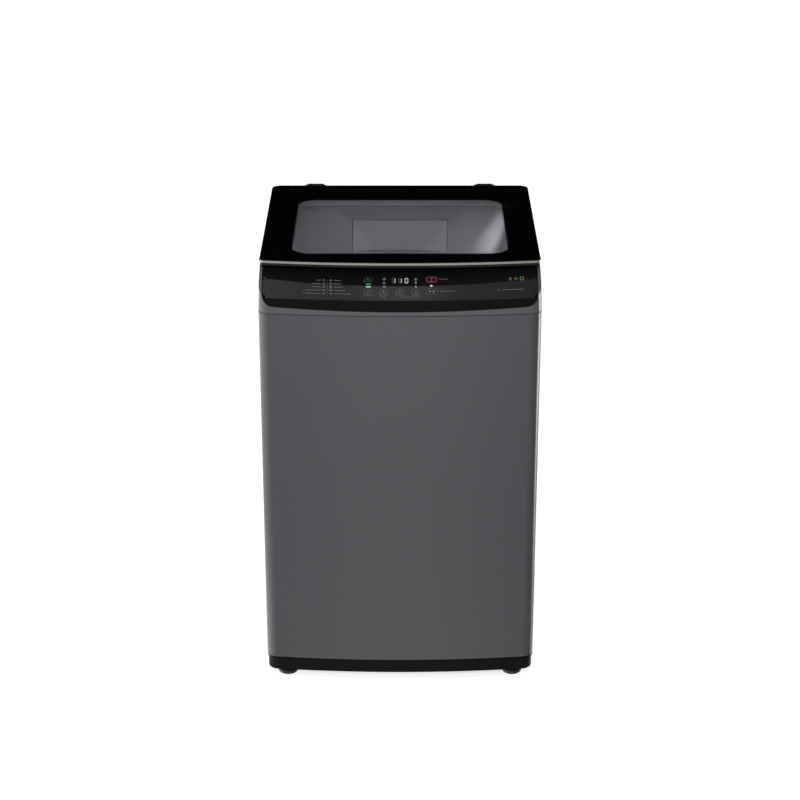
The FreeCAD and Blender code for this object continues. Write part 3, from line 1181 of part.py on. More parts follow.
def drive():
    plate = block("support_plate", ("-plate_left", "plate_right"), ("-plate_half_width", "plate_half_width"),
                  (PLATE_LOW, PLATE_TOP))
    centre = rod("plate_centre_hole", "spin_shaft_radius+14", "0", "0", ("100", "300"))
    shaft_hole = rod("plate_motor_hole", "20", "motor_offset", "0", ("100", "300"))
    lips = [block(f"plate_lip_{side}", ("-plate_left", "plate_right"),
                  (f"{sign}(plate_half_width-1.5)-1.5", f"{sign}(plate_half_width-1.5)+1.5"),
                  (f"{PLATE_LOW}-14", PLATE_LOW)) for side, sign in (("front", "-"), ("rear", ""))]
    sub_part("support_plate", cut("SupportPlate", fuse("plate_solid", plate, *lips), centre, shaft_hole))
    wall = "gearbox_radius"
    sub_part("gearbox_housing", turned("GearboxHousing", [
        ("wash_shaft_radius+8", "gearbox_low"), (f"{wall}-8", "gearbox_low"), (wall, "gearbox_low+8"),
        (wall, f"{PLATE_LOW}-6"), (f"{wall}+14", f"{PLATE_LOW}-6"), (f"{wall}+14", PLATE_LOW),
        ("spin_shaft_radius+running_gap", PLATE_LOW), ("spin_shaft_radius+running_gap", f"{PLATE_LOW}-14"),
        (f"{wall}-5", f"{PLATE_LOW}-14"), (f"{wall}-5", "gearbox_low+10"), (f"{wall}-10", "gearbox_low+5"),
        ("wash_shaft_radius+8", "gearbox_low+5")]))
    sub_part("spin_bearing", turned("SpinBearing", [
        ("spin_shaft_radius+running_gap", PLATE_LOW), ("spin_shaft_radius+14", PLATE_LOW),
        ("spin_shaft_radius+14", "tub_low-1"), ("spin_shaft_radius+running_gap", "tub_low-1")]))
    pulley = turned("DrivePulley", [
        ("0", "pulley_low"), ("18", "pulley_low"), ("18", "pulley_low+3"),
        ("pulley_radius-12", "pulley_low+3"), ("pulley_radius-12", "pulley_low"),
        ("pulley_radius+4", "pulley_low"), ("pulley_radius+4", "pulley_low+2"),
        ("pulley_radius", "pulley_low+2"), ("pulley_radius", "pulley_low+pulley_height-2"),
        ("pulley_radius+4", "pulley_low+pulley_height-2"), ("pulley_radius+4", "pulley_low+pulley_height"),
        ("pulley_radius-12", "pulley_low+pulley_height"), ("pulley_radius-12", "pulley_low+8"),
        ("18", "pulley_low+8"), ("18", "pulley_low+pulley_height+6"), ("0", "pulley_low+pulley_height+6")])
    sub_part("drive_pulley", pulley)
    sub_part("input_shaft", rod("InputShaft", "wash_shaft_radius", "0", "0",
                                ("pulley_low+pulley_height+6", "gearbox_low+24-fit_gap")))
    motor()
    belt()


def motor():
    top = PLATE_LOW
    low = f"({PLATE_LOW}-motor_height)"
    case = turned("MotorCase", [
        ("motor_shaft_radius+running_gap", low), ("26", low), ("32", f"{low}+6"),
        ("motor_radius-6", f"{low}+6"),
        ("motor_radius", f"{low}+12"), ("motor_radius", f"{top}-12"), ("motor_radius-6", f"{top}-6"),
        ("motor_radius-6", top), ("26", top), ("26", f"{top}-8"),
        ("motor_shaft_radius+running_gap", f"{top}-8")])
    placed(case, "motor_offset", "0")
    sub_part("motor_housing", case)
    sub_part("motor_shaft", rod("MotorShaft", "motor_shaft_radius", "motor_offset", "0",
                                ("pulley_low-2", f"{top}-2")))
    wheel = turned("MotorPulley", [
        ("motor_shaft_radius", "pulley_low"), ("motor_pulley_radius+3", "pulley_low"),
        ("motor_pulley_radius+3", "pulley_low+2"), ("motor_pulley_radius", "pulley_low+2"),
        ("motor_pulley_radius", "pulley_low+pulley_height-2"),
        ("motor_pulley_radius+3", "pulley_low+pulley_height-2"),
        ("motor_pulley_radius+3", "pulley_low+pulley_height"),
        ("motor_shaft_radius", "pulley_low+pulley_height")])
    sub_part("motor_pulley", placed(wheel, "motor_offset", "0"))


def belt_loop(grow):
    """The flat belt's loop round both pulleys, grown outward, as a face to extrude."""
    big = value("pulley_radius") + grow
    small = value("motor_pulley_radius") + grow
    reach = value("motor_offset")
    lean = math.acos((big - small) / reach)
    ends = [Vector(radius * math.cos(side * lean) + x, radius * math.sin(side * lean), 0)
            for radius, x, side in ((big, 0, 1), (small, reach, 1), (small, reach, -1), (big, 0, -1))]
    edges = [Part.LineSegment(ends[0], ends[1]), Part.Arc(ends[1], Vector(reach + small, 0, 0), ends[2]),
             Part.LineSegment(ends[2], ends[3]), Part.Arc(ends[3], Vector(-big, 0, 0), ends[0])]
    return Part.Face(Part.Wire([edge.toShape() for edge in edges]))


def belt():
    gap = value("fit_gap")
    width = value("pulley_height") - 4 - 2 * gap
    loop = belt_loop(gap + value("belt_thickness")).cut(belt_loop(gap))
    item = doc.addObject("Part::Feature", "DriveBelt")
    item.Shape = loop.extrude(Vector(0, 0, width))
    item.Placement = Placement(Vector(0, 0, value("pulley_low") + 2 + gap), Rotation())
    sub_part("drive_belt", item)


# ---------------------------------------------------------------- drain
def drain():
    face = f"({CABINET_REAR}-sheet-panel_dish-sheet)"
    x = "-pump_x"
    body = rod("pump_body", "pump_radius", x, ("pump_y+20", face), "pump_level", "Y")
    volute = block("pump_volute", (f"{x}-24", f"{x}+24"), ("pump_y-20", "pump_y+22"),
                   ("pump_level-24", "pump_level+24"))
    neck = rod("pump_neck", "hose_radius", x, "pump_y", ("pump_level+20", "pump_level+46"))
    tail = rod("pump_spigot", "spigot_radius", x, (f"{face}-1", f"{CABINET_REAR}-sheet+spigot_length-10"),
               "pump_level", "Y")
    tail_bore = rod("pump_spigot_bore", "spigot_radius-2", x, (f"{face}-4", f"{REAR}+30"), "pump_level", "Y")
    neck_bore = rod("pump_neck_bore", "hose_radius-2", x, "pump_y", ("pump_level+10", "pump_level+60"))
    solid = fuse("pump_solid", body, volute, neck, tail)
    sub_part("drain_pump", cut("DrainPump", solid, tail_bore, neck_bore))
    low = "(pump_level+46)"
    high = "(tub_low-12)"
    folds = 4
    points = [("hose_radius-1.5", f"{low}+fit_gap")]
    for count in range(folds):
        for share, grow in ((0.0, "0"), (0.5, "5")):
            place = (count + share) / folds
            points.append((f"hose_radius+{grow}", f"{low}+fit_gap+({high}-{low}-2*fit_gap)*{place}"))
    points += [("hose_radius", f"{high}-fit_gap"), ("hose_radius-1.5", f"{high}-fit_gap")]
    sub_part("drain_bellows", placed(turned("DrainBellows", points), x, "pump_y"))


# ---------------------------------------------------------------- build and export
def build():
    for section in (base_frame, feet, cabinet, rear_panel, seam_gasket, top_frame, throat, drawer,
                    inlet_valve, console, lid, tub, suspension, basket, pulsator, drive, drain):
        section()
    doc.recompute()


def check():
    """Stop if any object failed, or if a sub-part has no valid shape."""
    for item in doc.Objects:
        if {"Invalid", "Error"} & set(item.State):
            raise RuntimeError(f"{item.Label} failed: {item.State}")
    for node, item in NODES.items():
        if item.Shape.isNull() or not item.Shape.isValid() or not item.Shape.Solids:
            raise RuntimeError(f"{node} has no valid solid")


def export():
    os.makedirs("parts", exist_ok=True)
    for node, item in NODES.items():
        item.Shape.exportStep(f"parts/{node}.step")
        box = item.Shape.BoundBox
        print(f"{node:30s} solids {len(item.Shape.Solids):2d} volume {item.Shape.Volume / 1000:9.1f} cm3 "
              f"z {box.ZMin:7.1f} {box.ZMax:7.1f}")


build()
check()
export()
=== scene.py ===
"""Finish and stage for a top load washing machine.

The packed model is the frame: it gives every piece its place.  Each operator below finishes one
group of its pieces, draws the marks that go on them, or sets the stage.  Lengths are in metres,
+X is right when facing the machine, -Y is its front and +Z is up.
"""

import math
import random

import bpy
from bpy.props import FloatProperty, FloatVectorProperty, IntProperty, PointerProperty
from mathutils import Matrix, Vector
from mathutils.bvhtree import BVHTree


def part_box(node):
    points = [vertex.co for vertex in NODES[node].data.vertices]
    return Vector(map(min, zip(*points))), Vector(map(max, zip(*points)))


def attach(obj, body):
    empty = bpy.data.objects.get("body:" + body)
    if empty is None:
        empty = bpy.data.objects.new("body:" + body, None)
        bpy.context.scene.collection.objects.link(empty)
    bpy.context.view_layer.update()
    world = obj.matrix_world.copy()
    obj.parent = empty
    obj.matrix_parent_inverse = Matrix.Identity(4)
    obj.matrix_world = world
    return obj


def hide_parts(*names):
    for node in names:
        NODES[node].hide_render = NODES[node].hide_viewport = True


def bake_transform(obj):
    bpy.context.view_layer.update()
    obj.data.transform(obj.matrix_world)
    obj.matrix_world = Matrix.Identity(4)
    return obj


bl_info = {
    "name": "Top Load Washing Machine",
    "version": (1, 0, 0),
    "blender": (4, 5, 0),
    "location": "View3D > Sidebar > Washer",
    "description": "Finishes, control marks and stage for a top load washing machine",
    "category": "Object",
}

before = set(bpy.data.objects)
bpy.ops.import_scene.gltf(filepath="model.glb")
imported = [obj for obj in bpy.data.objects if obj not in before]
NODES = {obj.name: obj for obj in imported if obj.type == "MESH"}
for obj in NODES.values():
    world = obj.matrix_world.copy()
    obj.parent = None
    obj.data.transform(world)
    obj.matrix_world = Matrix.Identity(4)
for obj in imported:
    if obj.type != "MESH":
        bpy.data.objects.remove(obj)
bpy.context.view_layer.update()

# The console's front edge is an arc that comes forward by the bow over the cabinet's half width
FRONT_BOW = 0.0175
HALF_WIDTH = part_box("cabinet_shell")[1].x
FRONT_BOW_RADIUS = HALF_WIDTH ** 2 / (2 * FRONT_BOW) + FRONT_BOW / 2
PANEL_SLOPE = math.radians(44.2)
LID_TILT = math.radians(2)
LID_UP = Vector((0, -math.sin(LID_TILT), math.cos(LID_TILT)))
# The black hem along the cabinet's foot reaches up to this level; a painted shadow line tops it
HEM_LEVEL = 0.0521
HEM_SHADOW_GAP = 0.0014
# The lid trim has painted shade up to the first height over its foot, and is bright from the second
TRIM_PAINTED_SHADE = (0.0008, 0.0016)


# Colours and sizes that a user would change

def colour(label, about, value):
    """Describe a colour setting."""
    return FloatVectorProperty(
        name=label, description=about, default=value, subtype="COLOR", size=3, min=0.0, max=1.0)


def length(label, about, value):
    """Describe a length setting in metres."""
    return FloatProperty(name=label, description=about, default=value, min=0.0, unit="LENGTH")


def share(label, about, value, most=1.0):
    """Describe a plain factor."""
    return FloatProperty(name=label, description=about, default=value, min=0.0, max=most)


class WasherFinishes(bpy.types.PropertyGroup):
    """Colours of the machine's materials."""

    cabinet: colour("Cabinet", "Satin paint on the cabinet sheet", (0.0458, 0.0456, 0.0520))
    top_frame: colour("Top frame", "Moulded frame round the lid", (0.0560, 0.0558, 0.0632))
    throat: colour("Throat", "Loading throat and dispenser drawer", (0.119, 0.1185, 0.134))
    gloss_black: colour("Console", "Glossy black of the console", (0.0034, 0.0034, 0.0038))
    glass: colour("Black glass", "Print behind both of the glasses", (0.0014, 0.0011, 0.0013))
    satin_black: colour("Base and feet", "Moulded black of the base frame", (0.007, 0.007, 0.0075))
    lid_frame: colour("Lid frame", "Black frame under the lid glass", (0.009, 0.009, 0.0096))
    trim: colour("Lid trim", "Satin champagne strip on the lid's front edge", (0.34, 0.325, 0.285))
    galvanised: colour("Galvanised sheet", "Zinc coated rear panel", (0.38, 0.395, 0.405))
    zinc: colour("Plated steel", "Screws, rods, shafts and brackets", (0.55, 0.56, 0.58))
    stainless: colour("Stainless drum", "Perforated spin basket", (0.62, 0.62, 0.61))
    tub: colour("Tub", "Outer tub and its ring", (0.50, 0.51, 0.50))
    pale: colour("Pale plastic", "Pulsator, balance ring and lint filters", (0.58, 0.60, 0.62))
    rubber: colour("Rubber", "Seals, belt and bellows", (0.012, 0.012, 0.012))
    duct: colour("Duct", "Grey rubber of the inlet duct", (0.14, 0.14, 0.15))
    aluminium: colour("Cast aluminium", "Gearbox, hub flange and pulleys", (0.50, 0.51, 0.52))
    board: colour("Circuit board", "Solder mask of the display board", (0.010, 0.085, 0.035))
    motor: colour("Motor shell", "Paint on the motor housing", (0.16, 0.17, 0.18))
    white: colour("White plastic", "Electrical housings and the inlet valve", (0.66, 0.66, 0.63))


class WasherLid(bpy.types.PropertyGroup):
    """Sizes of the window that the print leaves in the lid's glass."""

    half_width: length("Window half width", "Half the width of the clear window", 0.2205)
    front: length("Window front", "From the hinge axis to the window's front edge", 0.4495)
    rear: length("Window rear", "From the hinge axis to the window's rear edge", 0.0945)
    corner: length("Window corner", "Corner radius of the window", 0.042)
    fade: length("Dotted edge", "Width of the dotted edge of the print", 0.008)
    dot: length("Dot pitch", "Distance between the dots of the edge", 0.0014)
    clear: share("Clearness", "How little the glass hides", 0.97)


class WasherPanel(bpy.types.PropertyGroup):
    """Sizes of the marks on the control panel."""

    line: length("Line width", "Width of a key's outline", 0.0004)
    key_width: length("Key width", "Width of a touch key's outline", 0.0165)
    key_height: length("Key height", "Height of a touch key's outline", 0.0088)
    number_height: length("Number height", "Height of the programme numbers", 0.0036)
    row: length("Row pitch", "Distance between the rows of the programme list", 0.0073)
    digit_height: length("Digit height", "Height of the display's digits", 0.0100)
    ink: colour("Ink", "Printed marks", (0.16, 0.16, 0.165))
    lamp_white: colour("White lamps", "Lit white marks and the display", (0.80, 0.84, 0.86))
    lamp_green: colour("Green lamps", "Lit green marks", (0.012, 0.26, 0.025))
    lamp_red: colour("Red ring", "Lit ring of the power key", (0.62, 0.02, 0.015))
    glow: share("Lamp strength", "How strongly the lit marks shine", 0.95, 20.0)


class WasherBasket(bpy.types.PropertyGroup):
    """Sizes of the basket's holes."""

    hole: length("Hole radius", "Radius of the basket's round holes", 0.0016)
    pitch: length("Hole pitch", "Distance between the basket's holes", 0.0135)
    ribs: IntProperty(name="Ribs", description="Ribs pressed into the basket", default=24, min=3)


class WasherStage(bpy.types.PropertyGroup):
    """Camera, lamps and floor."""

    distance: length("Camera distance", "From the axis of the machine back to the camera", 4.0455)
    height: length("Camera height", "Height of the camera", 2.159)
    tilt: FloatProperty(
        name="Camera tilt", description="How far the camera looks down", default=math.radians(22),
        unit="ROTATION")
    lens: FloatProperty(
        name="Lens", description="Focal length in millimetres", default=91.8, min=1.0)
    ambient: share("Ambient", "Strength of the even light from all round", 0.50, 10.0)
    key: share("Key lamp", "Power of the large lamp at the front", 62.0, 2000.0)
    fill: share("Overhead lamp", "Power of the large lamp overhead", 34.0, 2000.0)
    beam: share("Beam lamp", "Power of the narrow beam into the throat", 0.074, 2000.0)
    drum: share("Drum lamp", "Power of the lamp at the front of the loading throat", 0.75, 2000.0)


SETTINGS = {
    "washer_finishes": WasherFinishes,
    "washer_lid": WasherLid,
    "washer_panel": WasherPanel,
    "washer_basket": WasherBasket,
    "washer_stage": WasherStage,
}


# Node trees

def put(socket, value):
    """Set an input, or link it when the value is another node's output."""
    if isinstance(value, bpy.types.NodeSocket):
        socket.id_data.links.new(value, socket)
    else:
        socket.default_value = value


def node(tree, kind, inputs=None, **settings):
    """Add a shader node with its settings, and set or link its inputs."""
    made = tree.nodes.new("ShaderNode" + kind)
    for name, value in settings.items():
        setattr(made, name, value)
    for name, value in (inputs or {}).items():
        put(made.inputs[name], value)
    return made


def maths(operation, *values):
    """Add a Math node beside the sockets among its values, and return its result."""
    tree = next(value.id_data for value in values if isinstance(value, bpy.types.NodeSocket))
    return node(tree, "Math", dict(enumerate(values)), operation=operation).outputs[0]


def axes(place):
    """Split a place into its X, Y and Z."""
    return node(place.id_data, "SeparateXYZ", {"Vector": place}).outputs


def spread(value, low, high, start=0.0, stop=1.0):
    """Map a value from start..stop to low..high."""
    return node(value.id_data, "MapRange", {
        "Value": value, "From Min": start, "From Max": stop,
        "To Min": low, "To Max": high}).outputs["Result"]


def blend_colours(factor, *colours):
    """Mix two colours."""
    first, second = (value if isinstance(value, bpy.types.NodeSocket) else (*value[:3], 1.0)
                     for value in colours)
    return node(factor.id_data, "Mix", {0: factor, 6: first, 7: second},
                data_type="RGBA").outputs[2]


def noise(place, scale, detail=3.0):
    """Add a noise and return its value from 0 to 1."""
    return node(place.id_data, "TexNoise", {
        "Vector": place, "Scale": scale, "Detail": detail, "Roughness": 0.55}).outputs["Fac"]


def tone(tint, factor):
    """Lighten or darken a colour."""
    return tuple(min(1.0, part * factor) for part in tint)


class Finish:
    """A material with one shader, whose colour, gloss and relief come from nodes."""

    def __init__(self, name, roughness=0.5, metal=0.0, specular=0.5):
        self.material = bpy.data.materials.new(name)
        self.material.use_nodes = True
        self.tree = self.material.node_tree
        self.shader = self.tree.nodes["Principled BSDF"]
        self.set("Roughness", roughness)
        self.set("Metallic", metal)
        self.set("Specular IOR Level", specular)
        self.place = node(self.tree, "TexCoord").outputs["Object"]

    def set(self, socket, value):
        """Set or link one of the shader's inputs."""
        put(self.shader.inputs[socket], value)

    def stretched(self, x, y, z):
        """Return the place scaled along each axis, for grain that runs one way."""
        return node(self.tree, "VectorMath", {0: self.place, 1: (x, y, z)},
                    operation="MULTIPLY").outputs[0]

    def mottle(self, tint, amount, scale, place=None):
        """Vary the colour a little over the surface."""
        value = noise(place or self.place, scale)
        self.set("Base Color", blend_colours(value, tone(tint, 1 - amount), tone(tint, 1 + amount)))

    def gloss(self, low, high, scale, place=None):
        """Vary the roughness over the surface."""
        self.set("Roughness", spread(noise(place or self.place, scale), low, high, 0.3, 0.7))

    def cover(self, factor, tint):
        """Put a colour over the present one where the factor is 1."""
        present = self.shader.inputs["Base Color"].links[0].from_socket
        self.set("Base Color", blend_colours(factor, present, tint))

    def relief(self, height, depth, strength, edge=0.0):
        """Raise the surface by a height from 0 to 1, and round its edges."""
        inputs = {"Height": height, "Distance": depth, "Strength": strength}
        if edge:
            inputs["Normal"] = node(self.tree, "Bevel", {"Radius": edge}, samples=4).outputs[0]
        self.set("Normal", node(self.tree, "Bump", inputs).outputs["Normal"])


def moulded(name, tint, roughness=0.42, grain=900.0, depth=0.00004, cloud=0.05, specular=0.5):
    """Moulded plastic with a fine spark-eroded grain."""
    made = Finish(name, specular=specular)
    made.mottle(tint, cloud, 14.0)
    made.gloss(roughness - 0.05, roughness + 0.06, 60.0)
    made.relief(noise(made.place, grain, 2.0), depth, 0.5, 0.0006)
    return made.material


def rubber(name, tint, roughness=0.72):
    """Matt rubber with a faint bloom."""
    made = Finish(name, specular=0.35)
    made.mottle(tint, 0.25, 35.0)
    made.gloss(roughness - 0.1, roughness + 0.1, 120.0)
    made.relief(noise(made.place, 650.0), 0.0001, 0.4, 0.0005)
    return made.material


def turned_metal(name, tint, roughness=0.38):
    """Plated or turned steel with fine rings along the height."""
    made = Finish(name, metal=1.0)
    grain = made.stretched(20.0, 20.0, 1600.0)
    made.mottle(tint, 0.10, 1.0, grain)
    made.gloss(roughness - 0.08, roughness + 0.12, 90.0)
    made.relief(noise(grain, 1.0), 0.00003, 0.5, 0.0004)
    return made.material


def cast_metal(name, tint):
    """Die cast aluminium with a pebbled skin."""
    made = Finish(name, metal=1.0)
    made.mottle(tint, 0.14, 60.0)
    made.gloss(0.42, 0.58, 140.0)
    made.relief(noise(made.place, 420.0, 4.0), 0.00015, 0.6, 0.0008)
    return made.material


def galvanised(name, tint):
    """Zinc coated sheet with crystal spangles."""
    made = Finish(name, metal=1.0)
    crystals = node(made.tree, "TexVoronoi", {"Vector": made.place, "Scale": 120.0})
    value = node(made.tree, "SeparateColor", {"Color": crystals.outputs["Color"]}).outputs[0]
    made.set("Base Color", blend_colours(value, tone(tint, 0.88), tone(tint, 1.08)))
    made.set("Roughness", spread(value, 0.38, 0.50))
    made.relief(noise(made.place, 260.0), 0.00006, 0.4, 0.0006)
    return made.material


def painted_sheet(name, tint, hem=None):
    """Satin paint with a slight orange peel, a black foot hem and painted shade over it."""
    made = Finish(name)
    made.mottle(tint, 0.035, 5.0)
    made.gloss(0.19, 0.22, 40.0)
    made.relief(noise(made.place, 330.0, 2.0), 0.000004, 0.5, 0.0010)
    if hem:
        height = axes(made.place)["Z"]
        below = maths("LESS_THAN", height, HEM_LEVEL)
        # The strip just under the hem's top is darker: a painted shadow line for the gap over the
        # base
        clear = maths("LESS_THAN", height, HEM_LEVEL - HEM_SHADOW_GAP)
        made.cover(below, blend_colours(clear, tone(hem, 0.3), tone(hem, 1.2)))
        made.set("Metallic", below)
    return made.material


def gloss_black(name, tint):
    """Smooth black plastic."""
    made = Finish(name, specular=0.05)
    made.mottle(tint, 0.10, 18.0)
    made.gloss(0.12, 0.18, 30.0)
    made.relief(noise(made.place, 45.0, 2.0), 0.000004, 0.3, 0.0006)
    return made.material


def panel_glass(name, tint):
    """Flat tinted glass with a print behind it."""
    made = Finish(name)
    made.mottle(tint, 0.15, 9.0)
    haze = noise(made.place, 24.0)
    made.set("Roughness", spread(haze, 0.0, 0.012, 0.5, 0.8))
    return made.material


def brushed_trim(name, tint):
    """Anodised strip brushed along its length, with painted shade along its lower edge."""
    made = Finish(name, metal=1.0)
    grain = made.stretched(12.0, 900.0, 1500.0)
    made.mottle(tint, 0.10, 1.0, grain)
    made.gloss(0.29, 0.38, 1.0, grain)
    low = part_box("lid_front_trim")[0]
    foot = LID_UP.dot(Vector((0, low.y, low.z)))
    height = node(made.tree, "VectorMath", {0: made.place, 1: LID_UP},
                  operation="DOT_PRODUCT").outputs["Value"]
    # Painted shade: the trim is darkened towards its lower edge
    painted_shade = spread(height, 1.0, 0.0, foot + TRIM_PAINTED_SHADE[0], foot + TRIM_PAINTED_SHADE[1])
    made.cover(painted_shade, tone(tint, 0.12))
    made.relief(noise(grain, 1.0), 0.00002, 0.4, 0.0007)
    return made.material


def perforated_steel(name, tint, radius, settings):
    """Brushed stainless sheet with staggered round holes and pressed ribs."""
    made = Finish(name, metal=0.7)
    place = axes(made.place)
    angle = maths("ARCTAN2", place["Y"], place["X"])
    columns = 2 * round(math.pi * radius / settings.pitch)
    across = maths("MULTIPLY", angle, columns / (2 * math.pi))
    up = maths("DIVIDE", place["Z"], settings.pitch)
    odd = maths("MULTIPLY", maths("FLOORED_MODULO", maths("FLOOR", up), 2.0), 0.5)
    squares = []
    for value in (maths("ADD", across, odd), up):
        offset = maths("SUBTRACT", maths("FRACT", value), 0.5)
        squares.append(maths("MULTIPLY", offset, offset))
    reach = maths("SQRT", maths("ADD", *squares))
    edge = settings.hole / settings.pitch
    made.set("Alpha", maths("GREATER_THAN", reach, edge))
    grain = made.stretched(14.0, 14.0, 1300.0)
    made.mottle(tint, 0.08, 1.0, grain)
    made.gloss(0.30, 0.42, 1.0, grain)
    ribs = maths("COSINE", maths("MULTIPLY", angle, float(settings.ribs)))
    pressed = maths("MULTIPLY", maths("POWER", maths("MAXIMUM", ribs, 0.0), 6.0), 0.5)
    rolled = maths("SMOOTH_MIN", reach, 2 * edge, 0.1)
    made.relief(maths("ADD", pressed, rolled), 0.0015, 0.6)
    return made.material


def circuit_board(name, tint):
    """Solder mask with copper tracks under it."""
    made = Finish(name)
    tracks = node(made.tree, "TexVoronoi", {
        "Vector": made.place, "Scale": 190.0}, distance="MANHATTAN", feature="DISTANCE_TO_EDGE")
    line = maths("LESS_THAN", tracks.outputs["Distance"], 0.07)
    made.set("Base Color", blend_colours(line, tint, tone(tint, 2.2)))
    made.gloss(0.29, 0.40, 80.0)
    made.relief(line, 0.00004, 0.5)
    return made.material


def lid_glass(name, tint, lid):
    """Glass printed black round a clear window with a dotted edge."""
    made = Finish(name)
    axis = sum(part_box("hinge_pins"), Vector()) / 2
    turned = node(made.tree, "VectorRotate", {
        "Vector": made.place, "Center": axis, "Angle": -LID_TILT}, rotation_type="X_AXIS")
    place = axes(turned.outputs["Vector"])
    middle = axis.y - (lid.front + lid.rear) / 2
    half_length = (lid.front - lid.rear) / 2
    squares = []
    for part, centre, half in (("X", axis.x, lid.half_width), ("Y", middle, half_length)):
        offset = maths("ABSOLUTE", maths("SUBTRACT", place[part], centre))
        beyond = maths("MAXIMUM", maths("SUBTRACT", offset, half - lid.corner), 0.0)
        squares.append(maths("MULTIPLY", beyond, beyond))
    reach = maths("SQRT", maths("ADD", *squares))
    printed = spread(reach, 0.0, 1.0, lid.corner - lid.fade, lid.corner)
    dots = maths("ADD", *(maths("PINGPONG", maths("DIVIDE", place[part], lid.dot), 0.5)
                          for part in "XY"))
    hidden = maths("LESS_THAN", dots, printed)
    seen = maths("SUBTRACT", 1.0, hidden)
    slant = node(made.tree, "LayerWeight", {"Blend": 0.5}).outputs["Facing"]
    sheen = maths("MULTIPLY_ADD", maths("POWER", slant, 5.0), 0.9, 1.0 - lid.clear)
    made.set("Alpha", maths("MAXIMUM", hidden, sheen))
    made.set("Metallic", seen)
    dust = noise(made.place, 30.0)
    print_colour = blend_colours(dust, tone(tint, 0.8), tone(tint, 1.2))
    made.set("Base Color", blend_colours(seen, print_colour, (0.85, 0.87, 0.88)))
    made.set("Roughness", spread(dust, 0.01, 0.03, 0.4, 0.8))
    return made.material


def lit(name, tint, glow):
    """A lit mark behind the panel's glass."""
    made = Finish(name, roughness=0.3)
    made.mottle(tone(tint, 0.03), 0.15, 300.0)
    made.set("Emission Color", blend_colours(
        noise(made.place, 220.0), tone(tint, 0.85), tone(tint, 1.1)))
    made.set("Emission Strength", glow)
    return made.material


def ink(name, tint):
    """Screen printed ink."""
    made = Finish(name, specular=0.4)
    made.mottle(tint, 0.12, 240.0)
    made.gloss(0.35, 0.5, 300.0)
    return made.material


def dress(material, *names):
    """Give a material to nodes of the packed model."""
    for name in names:
        slots = NODES[name].material_slots
        if slots:
            for slot in slots:
                slot.material = material
        else:
            NODES[name].data.materials.append(material)


# Flat marks

def arc(across, up, radius, start=0.0, stop=360.0, steps=24):
    """Return points on an arc, its angles in degrees anticlockwise from the right."""
    angles = [math.radians(start + (stop - start) * step / steps) for step in range(steps + 1)]
    return [(across + radius * math.cos(angle), up + radius * math.sin(angle)) for angle in angles]


def rounded_box(across, up, width, height, radius):
    """Return the outline of a rounded rectangle."""
    points = []
    for side, rise, start in ((1, 1, 0), (-1, 1, 90), (-1, -1, 180), (1, -1, 270)):
        corner = (across + side * (width / 2 - radius), up + rise * (height / 2 - radius))
        points += arc(*corner, radius, start, start + 90, 6)
    return points[:-1]


def stroke(points, width, closed=False):
    """Return the corners and faces of a line of that width along the points."""
    corners = []
    faces = []
    count = len(points)
    for index, point in enumerate(points):
        before = points[index - 1] if index or closed else point
        after = points[(index + 1) % count] if index < count - 1 or closed else point
        run = Vector((after[0] - before[0], after[1] - before[1])).normalized()
        side = Vector((-run.y, run.x)) * width / 2
        corners += [(point[0] + side.x, point[1] + side.y), (point[0] - side.x, point[1] - side.y)]
    for index in range(count if closed else count - 1):
        a, b = 2 * index, 2 * ((index + 1) % count)
        faces.append((a, a + 1, b + 1, b))
    return corners, faces


def patch(points):
    """Return a filled outline."""
    return points, [tuple(range(len(points)))]


def strip(count):
    """Return the faces of a row of cells between two lines of corners."""
    return [(2 * i, 2 * i + 1, 2 * i + 3, 2 * i + 2) for i in range(count)]


def bar(across, up, width, height):
    """Return a filled bar, cut into short runs so that it follows the panel."""
    runs = max(1, math.ceil(width / 0.008))
    left = across - width / 2
    points = []
    for index in range(runs + 1):
        place = left + width * index / runs
        points += [(place, up + height / 2), (place, up - height / 2)]
    return points, strip(runs)


def number(text, across, up, height):
    """Return a plain number as flat faces."""
    curve = bpy.data.curves.new("number", "FONT")
    curve.body = text
    curve.size = height * 1.4
    curve.align_x = "CENTER"
    curve.align_y = "CENTER"
    carrier = bpy.data.objects.new("number", curve)
    mesh = bpy.data.meshes.new_from_object(carrier)
    corners = [(across + vertex.co.x, up + vertex.co.y) for vertex in mesh.vertices]
    faces = [tuple(face.vertices) for face in mesh.polygons]
    bpy.data.objects.remove(carrier)
    bpy.data.curves.remove(curve)
    bpy.data.meshes.remove(mesh)
    return corners, faces


def add(name, data):
    """Add an object to the scene."""
    made = bpy.data.objects.new(name, data)
    bpy.context.scene.collection.objects.link(made)
    return made


def sheet(name, corners, faces, material):
    """Add a mesh made of corners and faces."""
    mesh = bpy.data.meshes.new(name)
    mesh.from_pydata(corners, [], faces)
    mesh.update()
    mesh.materials.append(material)
    return add(name, mesh)


def stretch(name):
    """Replace a packed piece, which spans the cabinet and the tub, by a copy of its mesh."""
    source = NODES[name]
    mesh = source.data.copy()
    mesh.transform(source.matrix_world)
    piece = add(name + "_stretching", mesh)
    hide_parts(name)
    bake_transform(piece)
    return piece


def ray_target(name):
    """Return the faces of a packed piece in a form that a ray can be cast at."""
    piece = NODES[name]
    return BVHTree.FromPolygons([piece.matrix_world @ vertex.co for vertex in piece.data.vertices],
                                [tuple(face.vertices) for face in piece.data.polygons])


